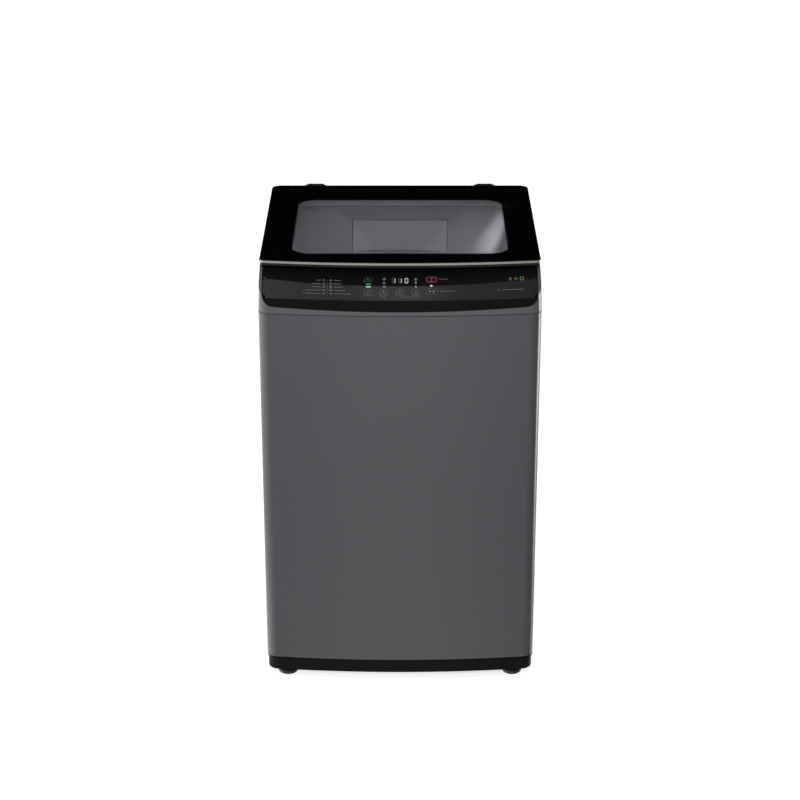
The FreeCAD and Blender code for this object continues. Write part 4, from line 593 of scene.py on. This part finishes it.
class SlopeFace:
    """The outer face of a piece on the console's slope."""

    LIFT = 0.00006

    def __init__(self, name="control_panel_glass"):
        self.target = ray_target(name)
        low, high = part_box("control_panel_glass")
        self.front = low.y
        self.top = high.z + 0.1

    def point(self, across, up):
        """Return the place on the glass, up being measured along its slope from the lower edge."""
        bow = FRONT_BOW_RADIUS - math.sqrt(FRONT_BOW_RADIUS ** 2 - across ** 2)
        start = Vector((across, self.front + bow + up * math.cos(PANEL_SLOPE), self.top))
        place, normal, _, _ = self.target.ray_cast(start, Vector((0, 0, -1)))
        if place is None:
            raise ValueError(f"a mark at {across:.4f}, {up:.4f} is off the panel")
        return place + normal * (self.LIFT if normal.z > 0 else -self.LIFT)

    def print(self, name, marks, material):
        """Lay a list of flat marks on the glass as one piece."""
        corners = []
        faces = []
        for points, runs in marks:
            start = len(corners)
            corners += [self.point(*point) for point in points]
            faces += [tuple(start + index for index in run) for run in runs]
        piece = sheet(name, corners, faces, material)
        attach(piece, "cabinet")


# Small pictures for the keys: lines in a square of side 2 round its middle
ICONS = {
    "drop": [[(0.0, 1.0)] + arc(0, -0.25, 0.62, 30, -210, 18) + [(0.0, 1.0)]],
    "wave": [[(-1 + 0.1 * i, 0.55 * row + 0.2 * math.sin(i * 0.9)) for i in range(21)]
             for row in (-1, 0, 1)],
    "tub": [[(-1, 0.8), (-0.75, -0.8), (0.75, -0.8), (1, 0.8)],
            [(-0.8 + 0.16 * i, 0.2 + 0.15 * math.sin(i * 1.2)) for i in range(11)]],
    "spiral": [[(0.045 * i * math.cos(i * 0.55), 0.045 * i * math.sin(i * 0.55))
                for i in range(23)]],
    "shower": [arc(0, 0.2, 0.8, 0, 180, 14), [(-0.8, 0.2), (0.8, 0.2)],
               [(-0.5, -0.1), (-0.6, -0.7)], [(0, -0.1), (0, -0.7)], [(0.5, -0.1), (0.6, -0.7)]],
    "lock": [[(-0.7, 0.1), (0.7, 0.1), (0.7, -0.9), (-0.7, -0.9), (-0.7, 0.1)],
             [(-0.42, 0.1), (-0.42, 0.45)] + arc(0, 0.45, 0.42, 180, 0, 10) + [(0.42, 0.1)]],
    "clock": [arc(0, 0, 0.9), [(0, 0.55), (0, 0), (0.4, -0.25)]],
    "level": [[(-0.9, 0.7), (-0.9, -0.8), (0.9, -0.8), (0.9, 0.7)],
              [(-0.5, -0.4), (0.5, -0.4)], [(-0.5, 0.0), (0.5, 0.0)], [(-0.5, 0.4), (0.5, 0.4)]],
}


def picture(icon, across, up, size, width):
    """Return a small picture as strokes."""
    return [stroke([(across + x * size / 2, up + y * size / 2) for x, y in line], width)
            for line in ICONS[icon]]


def words(across, up, width, height, seed):
    """Return a row of short bars that stands where a caption would."""
    pick = random.Random(seed)
    marks = []
    place = across
    while place < across + width - SHORTEST_BAR:
        run = min(pick.uniform(*BAR_RUNS), across + width - place)
        marks.append(bar(place + run / 2, up, run, height))
        place += run + BAR_GAP
    return marks


# Where the console's films start at their two ends, and where they end, up the slope
FILM_INNER_START = 0.0010
FILM_OUTER_START = 0.0120
FILM_TOP = 0.0660
# Places on the panel: across it, and up its slope from the lower edge
UPPER_ROW = 0.0458
LOWER_ROW = 0.0200
LEFT_KEY = -0.0620
LOWER_KEYS = (LEFT_KEY, -0.0315, 0.0, 0.0310)
POWER_KEY = (0.0620, UPPER_ROW, 0.0208, 0.0122)
PAUSE_KEY = (0.0625, LOWER_ROW, 0.0208, 0.0122)
LIST_MIDDLE = -0.1425
LIST_TOP = 0.0431
NUMBER_GAP = 0.0067
LIST_GAP = 0.0129
LIST_BAR = 0.0015
LIST_BARS = ((0.0092, 0.0165, 0.0175, 0.0300, 0.0355), (0.0135, 0.0141, 0.0184, 0.0233, 0.0343))
COLUMNS = ((-0.0310, ("clock", "lock", "tub")), (0.0310, ("level", "shower", "spiral")))
COLUMN_TOP = 0.0472
COLUMN_STEP = 0.0081
ICON = 0.0050
DIGIT_PLACES = (-0.0126, 0.0, 0.0126)
DIGIT_MIDDLE = 0.0437
# Width and stroke of a digit, as shares of its height
DIGIT_WIDTH = 0.66
DIGIT_STROKE = 0.12
# Marks at the panel's right end
END_LEVEL = 0.0444
END_SIZE = 0.0068
END_DROP = 0.2165
END_WAVE = 0.2275
END_GREEN = (0.2395, END_LEVEL, 0.0064, 0.0060, 0.0018)
END_DIAMOND = ((0.1900, 0.0206), (0.1925, 0.0232), (0.1950, 0.0206), (0.1925, 0.0180))
START_LAMP = ((0.0592, 0.0348), (0.0592, 0.0300), (0.0650, 0.0318))
WHITE_LAMP = (LEFT_KEY, 0.0300, 0.0092, 0.0018)
GREEN_LAMP = (LEFT_KEY, 0.0357, 0.0098, 0.0034)
KEY_CAPTION = 0.0123
CAPTION_BAR = 0.0013
# Start, level, length, height and seed of the captions that don't stand under a key
CAPTIONS = (
    (-0.0375, 0.0079, 0.0120, 0.0012, 50),
    (0.0005, 0.0079, 0.0370, 0.0009, 51),
    (0.0769, 0.0468, 0.0180, 0.0014, 60),
    (0.0774, 0.0200, 0.0320, 0.0016, 61),
    (0.2000, 0.0206, 0.0430, 0.0017, 62),
)
# Shortest and longest bar of a caption, the gap between two, and the last space left empty
BAR_RUNS = (0.0012, 0.0034)
BAR_GAP = 0.0007
SHORTEST_BAR = 0.0008
# Ends of each segment of a digit, in heights and widths of the digit
SEGMENTS = {
    "a": ((-0.32, 0.5), (0.32, 0.5)),
    "b": ((0.42, 0.42), (0.42, 0.06)),
    "c": ((0.42, -0.06), (0.42, -0.42)),
    "d": ((0.32, -0.5), (-0.32, -0.5)),
    "e": ((-0.42, -0.42), (-0.42, -0.06)),
    "f": ((-0.42, 0.06), (-0.42, 0.42)),
    "g": ((-0.32, 0.0), (0.32, 0.0)),
}


def touch_keys(sizes):
    """Return the middle and size of each key, the power key left out."""
    places = [(LEFT_KEY, UPPER_ROW)] + [(across, LOWER_ROW) for across in LOWER_KEYS]
    return [(*place, sizes.key_width, sizes.key_height) for place in places] + [PAUSE_KEY]


# Operators

class WasherOperator(bpy.types.Operator):
    """Base for the operators that finish the machine."""

    bl_options = {"REGISTER", "UNDO"}


class WASHER_OT_cabinet(WasherOperator):
    """Paint the cabinet, its top frame and the seam between them"""

    bl_idname = "washer.cabinet"
    bl_label = "Cabinet"

    def execute(self, context):
        tints = context.scene.washer_finishes
        dress(painted_sheet("Cabinet paint", tints.cabinet, tints.satin_black), "cabinet_shell")
        dress(painted_sheet("Top frame satin", tints.top_frame), "top_frame")
        dress(rubber("Seam gasket rubber", tone(tints.rubber, 4.8)), "seam_gasket")
        return {"FINISHED"}


class WASHER_OT_base(WasherOperator):
    """Finish the base frame and the four feet"""

    bl_idname = "washer.base"
    bl_label = "Base and feet"

    def execute(self, context):
        tints = context.scene.washer_finishes
        dress(moulded("Base plastic", tone(tints.satin_black, 0.7), 0.45, specular=0.06),
              "base_frame")
        dress(rubber("Foot rubber", tone(tints.rubber, 0.9), 0.5), "foot_pad_left",
              "foot_pad_right", "rear_feet")
        dress(turned_metal("Stud zinc", tints.zinc), "foot_stud_left", "foot_stud_right",
              "lock_nut_left", "lock_nut_right")
        return {"FINISHED"}


class WASHER_OT_rear(WasherOperator):
    """Finish the rear panel, its screws and the mains gland"""

    bl_idname = "washer.rear"
    bl_label = "Rear panel"

    def execute(self, context):
        tints = context.scene.washer_finishes
        dress(galvanised("Galvanised sheet", tints.galvanised), "rear_panel", "support_plate")
        dress(turned_metal("Screw zinc", tints.zinc), "rear_panel_screws")
        dress(rubber("Gland rubber", tints.rubber), "cord_gland")
        return {"FINISHED"}


class WASHER_OT_console(WasherOperator):
    """Finish the console, its glass and the electronics behind it"""

    bl_idname = "washer.console"
    bl_label = "Console"

    def execute(self, context):
        tints = context.scene.washer_finishes
        dress(gloss_black("Console black", tints.gloss_black), "control_bezel")
        glass = panel_glass("Panel glass", tints.glass)
        dress(glass, "control_panel_glass")
        self.films(glass)
        dress(circuit_board("Circuit board", tints.board), "display_board")
        dress(moulded("Module plastic", tints.white), "control_module")
        return {"FINISHED"}

    def films(self, glass):
        """Glossy film on the console's slope, from the glass out to the console's ends."""
        face = SlopeFace("control_bezel")
        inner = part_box("control_panel_glass")[1].x + 0.0003
        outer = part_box("control_bezel")[1].x - 0.0012
        for side, name in ((-1, "console_film_left"), (1, "console_film_right")):
            rows = [(side * across, max(start, FILM_TOP * step / 8)) for step in range(9)
                    for across, start in ((inner, FILM_INNER_START), (outer, FILM_OUTER_START))]
            face.print(name, [(rows, strip(8))], glass)


class WASHER_OT_panel_marks(WasherOperator):
    """Print the programme list, the keys and their pictures on the panel"""

    bl_idname = "washer.panel_marks"
    bl_label = "Panel marks"

    def execute(self, context):
        sizes = context.scene.washer_panel
        face = SlopeFace()
        printed = ink("Panel ink", sizes.ink)
        dim = ink("Caption ink", tone(sizes.ink, 0.5))
        keys = touch_keys(sizes)
        face.print("programme_numbers", self.programme_numbers(sizes), printed)
        face.print("programme_names", self.programme_names(sizes), dim)
        face.print("touch_key_outlines", self.outlines(keys, sizes.line), dim)
        face.print("touch_key_pictures", self.pictures(keys, sizes.line), printed)
        face.print("lamp_column_pictures", [
            mark for across, icons in COLUMNS for row, icon in enumerate(icons)
            for mark in picture(icon, across, COLUMN_TOP - row * COLUMN_STEP, ICON, sizes.line)],
            ink("Lamp ink", tone(sizes.ink, 2.4)))
        face.print("key_captions", self.captions(keys), dim)
        return {"FINISHED"}

    def programme_numbers(self, sizes):
        """Ten plain numbers in two columns."""
        return [number(f"{1 + row + 5 * column:02d}", LIST_MIDDLE + side * NUMBER_GAP,
                       LIST_TOP - row * sizes.row, sizes.number_height)
                for column, side in enumerate((-1, 1)) for row in range(5)]

    def programme_names(self, sizes):
        """Rows of short bars beside the numbers, and the thin line between the columns."""
        marks = [bar(LIST_MIDDLE, LIST_TOP - 2 * sizes.row, 0.0004, 4.4 * sizes.row)]
        for column, side in enumerate((-1, 1)):
            for row, run in enumerate(LIST_BARS[column]):
                start = LIST_MIDDLE - LIST_GAP - run if side < 0 else LIST_MIDDLE + LIST_GAP
                marks += words(start, LIST_TOP - row * sizes.row, run, LIST_BAR, 10 * column + row)
        return marks

    def outlines(self, keys, line):
        """Outlines of the touch keys: the lower ones have round ends."""
        marks = []
        for across, up, width, height in keys:
            radius = height * (0.32 if up > 0.03 or across > 0.04 else 0.49)
            marks.append(stroke(rounded_box(across, up, width, height, radius), line, True))
        return marks

    def pictures(self, keys, line):
        """Pictures inside the keys, the dot at each key's corner and the marks at the right end."""
        marks = [patch(arc(across - width * 0.46, up - height * 0.42, 0.0008, steps=8)[:-1])
                 for across, up, width, height in keys]
        for (across, up, _, _), icon in zip(keys, ("tub", "drop", "wave", "shower", "spiral")):
            marks += picture(icon, across, up, ICON, line)
        across, up, _, _ = PAUSE_KEY
        left = across - 0.0052
        marks.append(patch([(left, up + 0.0024), (left, up - 0.0024), (across - 0.0008, up)]))
        marks += [bar(across + place, up, 0.0011, 0.0046) for place in (0.0022, 0.0044)]
        marks += picture("drop", END_DROP, END_LEVEL, END_SIZE, line * 2)
        marks += picture("wave", END_WAVE, END_LEVEL, END_SIZE, line)
        marks.append(stroke(END_DIAMOND, line, True))
        return marks

    def captions(self, keys):
        """Rows of short bars under and beside the keys."""
        marks = []
        for index, (across, _, width, _) in enumerate(keys[1:5]):
            marks += words(across - width / 2, KEY_CAPTION, width, CAPTION_BAR, 40 + index)
        for caption in CAPTIONS:
            marks += words(*caption)
        return marks


class WASHER_OT_display(WasherOperator):
    """Light the display's digits, the lamps and the ring of the power key"""

    bl_idname = "washer.display"
    bl_label = "Display"

    def execute(self, context):
        sizes = context.scene.washer_panel
        face = SlopeFace()
        shown = (("bc", "adefg"), ("bc", "adefg"), ("abcdef", "g"))
        bright = []
        dim = []
        for across, (on, off) in zip(DIGIT_PLACES, shown):
            bright += self.segments(on, across, sizes)
            dim += self.segments(off, across, sizes)
        across, up, width, height = POWER_KEY
        white = lit("White lamps", sizes.lamp_white, sizes.glow)
        face.print("display_digits", bright, white)
        # The idle segments are unlit, so their faint glow is painted light
        face.print("display_idle_segments", dim,
                   lit("Idle segments", sizes.lamp_white, sizes.glow * 0.04))
        face.print("start_lamp", [patch(START_LAMP)], white)
        face.print("key_lamp_white", [bar(*WHITE_LAMP)], white)
        green = stroke(rounded_box(*END_GREEN), 0.0016, True)
        face.print("key_lamp_green", [bar(*GREEN_LAMP), green],
                   lit("Green lamps", sizes.lamp_green, sizes.glow))
        ring = stroke(rounded_box(across, up, width, height, 0.0030), 0.0007, True)
        face.print("power_key_ring", [ring], lit("Red ring", sizes.lamp_red, sizes.glow * 0.6))
        oval = stroke(rounded_box(across, up, 0.0148, 0.0084, 0.0040), sizes.line, True)
        face.print("power_key_picture", [oval, bar(across, up, 0.0008, 0.0062)],
                   ink("Power ink", tone(sizes.ink, 0.9)))
        return {"FINISHED"}

    def segments(self, letters, across, sizes):
        """Bars of one digit."""
        high = sizes.digit_height
        wide = high * DIGIT_WIDTH
        return [stroke([(across + x * wide, DIGIT_MIDDLE + y * high) for x, y in SEGMENTS[letter]],
                       high * DIGIT_STROKE) for letter in letters]


# Height of the lining's lip under the middle of the lid, the steps round it, and its profile from
# the top down: how far in from the frame's wall, and how far above the lip
LINING_LEVEL = 0.9018
LINING_STEPS = 360
LINING_PROFILE = ((0.0003, 0.0100), (0.0003, 0.0012), (0.0012, 0.0008), (0.0016, 0.0),
                  (0.0012, -0.0008), (0.0003, -0.0011))


class WASHER_OT_lid(WasherOperator):
    """Finish the lid's glass, frame, trim and hinges"""

    bl_idname = "washer.lid"
    bl_label = "Lid"

    def execute(self, context):
        tints = context.scene.washer_finishes
        dress(lid_glass("Lid glass", tints.glass, context.scene.washer_lid), "lid_glass")
        dress(brushed_trim("Champagne trim", tints.trim), "lid_front_trim")
        dress(moulded("Lid frame plastic", tints.lid_frame, 0.4, specular=0.2), "lid_frame")
        dress(moulded("Hinge plastic", tints.satin_black, 0.35), "lid_hinge_arm_left",
              "lid_hinge_arm_right", "hinge_bases")
        dress(turned_metal("Hinge pin steel", tints.zinc), "hinge_pins")
        dress(rubber("Bumper rubber", tints.rubber), "lid_bumpers")
        lining = moulded("Window lining plastic", tone(tints.lid_frame, 9.6), 0.4)
        # The lip takes a lighter copy of the lining's plastic: a painted highlight along its
        # rounded edge
        lip = moulded("Window lip plastic", tone(tints.lid_frame, 17.5), 0.4)
        self.lining(lining, lip)
        return {"FINISHED"}

    def lining(self, material, lip):
        """A thin lining with a rounded lower lip, all round the opening under the glass."""
        walls = ray_target("lid_frame")
        middle = Vector((0, 0, LINING_LEVEL))
        rows = len(LINING_PROFILE)
        corners = []
        for step in range(LINING_STEPS):
            turn = 2 * math.pi * step / LINING_STEPS
            out = Vector((math.cos(turn), math.sin(turn), math.sin(turn) * math.tan(LID_TILT)))
            wall = walls.ray_cast(middle, out)[0]
            corners += [wall - inward * out + rise * LID_UP for inward, rise in LINING_PROFILE]
        count = len(corners)
        faces = [(start, start + 1, (start + 1 + rows) % count, (start + rows) % count)
                 for start in range(count) if start % rows < rows - 1]
        piece = sheet("lid_window_lining", corners, faces, material)
        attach(piece, "lid")
        # The lip's lighter material is a painted highlight
        piece.data.materials.append(lip)
        for index, face in enumerate(piece.data.polygons):
            face.use_smooth = True
            face.material_index = min(index % (rows - 1), 1)
        return piece


class WASHER_OT_throat(WasherOperator):
    """Finish the loading throat, the dispenser drawer and its housing"""

    bl_idname = "washer.throat"
    bl_label = "Throat and drawer"

    def execute(self, context):
        tints = context.scene.washer_finishes
        fine = {"roughness": 0.35, "grain": 500.0, "depth": 0.00001, "cloud": 0.012}
        dress(moulded("Throat plastic", tints.throat, **fine), "throat_funnel", "dispenser_housing")
        # The drawer front is the throat's plastic made lighter: painted light
        dress(moulded("Drawer front plastic", tone(tints.throat, 1.42), **fine), "drawer_front")
        dress(moulded("Drawer plastic", tints.pale, 0.36), "drawer_tray")
        return {"FINISHED"}


class WASHER_OT_tub(WasherOperator):
    """Finish the tub and the suspension that it hangs from"""

    bl_idname = "washer.tub"
    bl_label = "Tub and suspension"

    def execute(self, context):
        tints = context.scene.washer_finishes
        dress(moulded("Tub plastic", tints.tub, 0.45, 300.0, 0.0001), "outer_tub", "tub_ring",
              "damper_cups")
        dress(rubber("Tub seal rubber", tints.rubber), "tub_seal")
        dress(turned_metal("Suspension zinc", tints.zinc), "corner_brackets", "suspension_rods")
        dress(turned_metal("Spring steel", tone(tints.zinc, 0.55)), "suspension_springs")
        stretch("suspension_springs")
        return {"FINISHED"}


class WASHER_OT_basket(WasherOperator):
    """Finish the spin basket with its holes, ring, base and lint filters"""

    bl_idname = "washer.basket"
    bl_label = "Basket"

    def execute(self, context):
        tints = context.scene.washer_finishes
        sizes = context.scene.washer_basket
        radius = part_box("spin_basket")[1].x
        dress(perforated_steel("Perforated stainless", tints.stainless, radius, sizes),
              "spin_basket")
        dress(moulded("Balance ring plastic", tints.pale, 0.36), "balance_ring", "basket_base")
        dress(moulded("Filter plastic", tone(tints.pale, 0.9), 0.4), "lint_filters")
        dress(cast_metal("Hub aluminium", tints.aluminium), "basket_hub_flange")
        dress(turned_metal("Shaft steel", tints.zinc, 0.15), "spin_tube", "wash_shaft",
              "input_shaft", "motor_shaft")
        return {"FINISHED"}


class WASHER_OT_pulsator(WasherOperator):
    """Finish the pulsator and its cap"""

    bl_idname = "washer.pulsator"
    bl_label = "Pulsator"

    def execute(self, context):
        tints = context.scene.washer_finishes
        dress(moulded("Pulsator plastic", tone(tints.pale, 0.95), 0.37), "pulsator_plate")
        dress(moulded("Cap plastic", tone(tints.pale, 0.7), 0.35), "pulsator_cap")
        return {"FINISHED"}


class WASHER_OT_drive(WasherOperator):
    """Finish the gearbox, pulleys, belt and motor under the tub"""

    bl_idname = "washer.drive"
    bl_label = "Drive"

    def execute(self, context):
        tints = context.scene.washer_finishes
        dress(cast_metal("Gearbox aluminium", tints.aluminium), "gearbox_housing", "drive_pulley",
              "motor_pulley")
        dress(turned_metal("Bearing steel", tints.zinc, 0.14), "spin_bearing")
        dress(rubber("Belt rubber", tints.rubber), "drive_belt")
        dress(moulded("Motor paint", tints.motor, 0.4, 240.0, 0.0001), "motor_housing")
        return {"FINISHED"}


class WASHER_OT_water(WasherOperator):
    """Finish the inlet valve, its duct, the drain pump and its bellows"""

    bl_idname = "washer.water"
    bl_label = "Water parts"

    def execute(self, context):
        tints = context.scene.washer_finishes
        dress(moulded("Valve plastic", tints.white, 0.4), "water_inlet_valve")
        dress(rubber("Duct rubber", tints.duct), "inlet_duct")
        dress(moulded("Pump plastic", tints.satin_black, 0.45), "drain_pump")
        dress(rubber("Bellows rubber", tints.rubber), "drain_bellows")
        stretch("drain_bellows")
        return {"FINISHED"}


FLOOR_CORNERS = ((-12, -12, 0), (12, -12, 0), (12, 12, 0), (-12, 12, 0))
FLOOR_GLOW = 0.66
# Name, place, aim, width and height of the lamp that each setting of the stage drives
LAMPS = {
    "key": ("key_lamp", (-0.7, -3.3, 1.95), (0.0, 0.0, 0.6), 2.4, 1.2),
    "fill": ("overhead_lamp", (0.0, -0.9, 3.2), (0.0, 0.0, 0.9), 2.4, 2.0),
    "drum": ("drum_lamp", (0.0, -0.165, 0.896), (0.0, 0.20, 0.885), 0.40, 0.02),
    "beam": ("beam_lamp", (-0.30, -0.50, 1.90), (0.203, 0.133, 0.858), 0.022, 0.095),
}
# Direction of the throat's right rear corner
CORNER = Vector((-0.49, 0.10, -0.87))
# Brightness of the surroundings in reflections, by direction round the machine (0 is its front,
# positive to its right) and by height above the horizon, in degrees, as shares of the brightest
BRIGHTEST = 9.0
AROUND = (360.0, (
    (-180, 0.16), (-135, 0.25), (-95, 0.33), (-70, 0.29), (-48, 0.18), (-28, 0.12), (-16, 0.11),
    (-8, 0.155), (0, 0.165), (8, 0.15), (16, 0.10), (48, 0.06), (85, 0.03), (127, 0.12),
    (180, 0.16)))
SIDE_LAMP = (360.0, ((-180, 0.0), (100, 0.0), (106, 0.95), (120, 0.95), (127, 0.0)))
HEIGHTS = (180.0, (
    (-90, 0.8), (-36, 1.0), (-30, 1.0), (-28, 0.60), (-24.5, 0.54), (-22, 0.66), (-19.9, 0.92),
    (-16, 1.0), (-8, 0.67), (90, 0.67)))
# Elevations over which the side lamp fades out downwards
SIDE_LAMP_FOOT = (-27.5, -23)
# The ceiling is dark beyond a curved edge, and glows faintly just behind it
CEILING_BEND = 0.462
CEILING_EDGE = -0.3110
CEILING_RISE = (0.06, 0.10)
CEILING_GLOW = 0.12


class WASHER_OT_stage(WasherOperator):
    """Set the floor, the lamps, the surroundings and the camera"""

    bl_idname = "washer.stage"
    bl_label = "Stage"

    def execute(self, context):
        settings = context.scene.washer_stage
        context.scene.view_settings.view_transform = "Standard"
        self.floor()
        self.surroundings(context.scene, settings.ambient)
        for power, placing in LAMPS.items():
            lamp = self.lamp(*placing, getattr(settings, power))
            if power == "beam":
                self.narrow(lamp, *placing[1:3])
        self.camera(context.scene, settings)
        return {"FINISHED"}

    def empty_tree(self, owner):
        """Return the cleared node tree of a material or a world."""
        owner.use_nodes = True
        owner.node_tree.nodes.clear()
        return owner.node_tree

    def floor(self):
        """A pale floor that looks white and keeps the machine's shadow."""
        material = bpy.data.materials.new("Studio floor")
        floor = sheet("floor", FLOOR_CORNERS, [(0, 1, 2, 3)], material)
        tree = self.empty_tree(material)
        place = node(tree, "TexCoord").outputs["Object"]
        paint = blend_colours(noise(place, 3.0), (0.80, 0.80, 0.80), (0.84, 0.84, 0.84))
        matt = node(tree, "BsdfDiffuse", {"Color": paint}).outputs[0]
        glow = node(tree, "Emission", {"Color": (1, 1, 1, 1), "Strength": FLOOR_GLOW}).outputs[0]
        both = node(tree, "AddShader", {0: matt, 1: glow}).outputs[0]
        ray = node(tree, "LightPath").outputs
        direct = maths("MAXIMUM", ray["Is Camera Ray"], maths(
            "MAXIMUM", ray["Is Glossy Ray"], ray["Is Transmission Ray"]))
        mixed = node(tree, "MixShader", {0: direct, 1: matt, 2: both}).outputs[0]
        node(tree, "OutputMaterial", {"Surface": mixed})
        floor.visible_glossy = False

    def surroundings(self, scene, ambient):
        """White surroundings, which reflect as a studio with a dark ceiling and soft boxes."""
        world = bpy.data.worlds.new("Studio")
        scene.world = world
        tree = self.empty_tree(world)
        ray = node(tree, "LightPath").outputs
        parts = axes(node(tree, "TexCoord").outputs["Generated"])
        ahead = maths("MULTIPLY", parts["Y"], -1.0)
        turn = maths("ARCTAN2", parts["X"], ahead)
        around = spread(turn, 0.0, 1.0, -math.pi, math.pi)
        rise = maths("ARCSINE", parts["Z"])
        lamps = maths("MULTIPLY", self.ramp(around, SIDE_LAMP), spread(
            rise, 0.05, 1.0, *map(math.radians, SIDE_LAMP_FOOT)))
        walls = maths("ADD", self.ramp(around, AROUND), lamps)
        heights = self.ramp(spread(rise, 0.0, 1.0, -math.pi / 2, math.pi / 2), HEIGHTS)
        studio = maths("MULTIPLY", maths("MULTIPLY", walls, heights), BRIGHTEST)
        lifted = maths("MAXIMUM", parts["Z"], 0.001)
        side = maths("DIVIDE", parts["X"], lifted)
        bend = maths("MULTIPLY", maths("MULTIPLY", side, side), CEILING_BEND)
        edge = maths("ADD", bend, CEILING_EDGE)
        beyond = maths("SUBTRACT", maths("DIVIDE", parts["Y"], lifted), edge)
        above = spread(parts["Z"], 0.0, 1.0, *CEILING_RISE)
        dark = maths("MULTIPLY", maths("GREATER_THAN", beyond, 0.0), above)
        faint = maths("MULTIPLY", dark, spread(beyond, CEILING_GLOW, 0.0, 0.0, 0.010))
        studio = maths("MULTIPLY_ADD", studio, maths("SUBTRACT", 1.0, dark), faint)
        glossy, even, plain = (
            node(tree, "Background", {"Color": (1, 1, 1, 1), "Strength": strength}).outputs[0]
            for strength in (studio, ambient, 1.0))
        lighting = node(tree, "MixShader", {0: ray["Is Glossy Ray"], 1: even, 2: glossy}).outputs[0]
        direct = maths("MAXIMUM", ray["Is Camera Ray"], ray["Is Transmission Ray"])
        mixed = node(tree, "MixShader", {0: direct, 1: lighting, 2: plain}).outputs[0]
        node(tree, "OutputWorld", {"Surface": mixed})

    def ramp(self, value, stops):
        """Turn a value into a brightness through stops in degrees."""
        made = node(value.id_data, "ValToRGB", {0: value})
        band = made.color_ramp
        span, points = stops
        for index, (degrees, level) in enumerate(points):
            position = degrees / span + 0.5
            element = band.elements[index] if index < 2 else band.elements.new(position)
            element.position = position
            element.color = (level, level, level, 1)
        return node(value.id_data, "RGBToBW", {0: made.outputs[0]}).outputs[0]

    def narrow(self, lamp, place, target):
        """Make a lamp a narrow beam whose long side lies along the throat's right rear corner."""
        away = (Vector(place) - Vector(target)).normalized()
        along = (CORNER - away * CORNER.dot(away)).normalized()
        lamp.rotation_euler = Matrix((along.cross(away), along, away)).transposed().to_euler()
        lamp.data.spread = math.radians(3)

    def lamp(self, name, place, target, width, height, power):
        """A soft rectangular lamp aimed at a point."""
        light = bpy.data.lights.new(name, "AREA")
        light.shape = "RECTANGLE"
        light.size = width
        light.size_y = height
        light.energy = power
        lamp = add(name, light)
        lamp.location = place
        lamp.rotation_euler = (Vector(target) - Vector(place)).to_track_quat("-Z", "Y").to_euler()
        lamp.visible_glossy = False
        lamp.visible_camera = False
        return lamp

    def camera(self, scene, settings):
        """A long lens in front of the machine and above it."""
        lens = bpy.data.cameras.new("camera")
        lens.lens = settings.lens
        lens.sensor_width = 36.0
        camera = add("camera", lens)
        camera.location = (0.0, -settings.distance, settings.height)
        camera.rotation_euler = (math.pi / 2 - settings.tilt, 0.0, 0.0)
        scene.camera = camera


class WASHER_PT_sidebar(bpy.types.Panel):
    """Lists the machine's settings and the steps that finish it"""

    bl_idname = "WASHER_PT_sidebar"
    bl_label = "Top Load Washer"
    bl_space_type = "VIEW_3D"
    bl_region_type = "UI"
    bl_category = "Washer"

    def draw(self, context):
        for step in STEPS:
            self.layout.operator(step.bl_idname)
        for name, group in SETTINGS.items():
            box = self.layout.box()
            box.label(text=group.__doc__)
            for setting in group.__annotations__:
                box.prop(getattr(context.scene, name), setting)


STEPS = (
    WASHER_OT_cabinet, WASHER_OT_base, WASHER_OT_rear, WASHER_OT_console, WASHER_OT_panel_marks,
    WASHER_OT_display, WASHER_OT_lid, WASHER_OT_throat, WASHER_OT_tub, WASHER_OT_basket,
    WASHER_OT_pulsator, WASHER_OT_drive, WASHER_OT_water, WASHER_OT_stage,
)
CLASSES = (*SETTINGS.values(), *STEPS, WASHER_PT_sidebar)


def register():
    """Register the classes and hang the settings on the scene."""
    for item in CLASSES:
        bpy.utils.register_class(item)
    for name, group in SETTINGS.items():
        setattr(bpy.types.Scene, name, PointerProperty(type=group))


def unregister():
    """Take the settings and classes away again."""
    for name in SETTINGS:
        delattr(bpy.types.Scene, name)
    for item in reversed(CLASSES):
        bpy.utils.unregister_class(item)


def main():
    """Finish the machine and set the stage."""
    register()
    for step in STEPS:
        group, name = step.bl_idname.split(".")
        getattr(getattr(bpy.ops, group), name)()


if __name__ == "__main__":
    main()
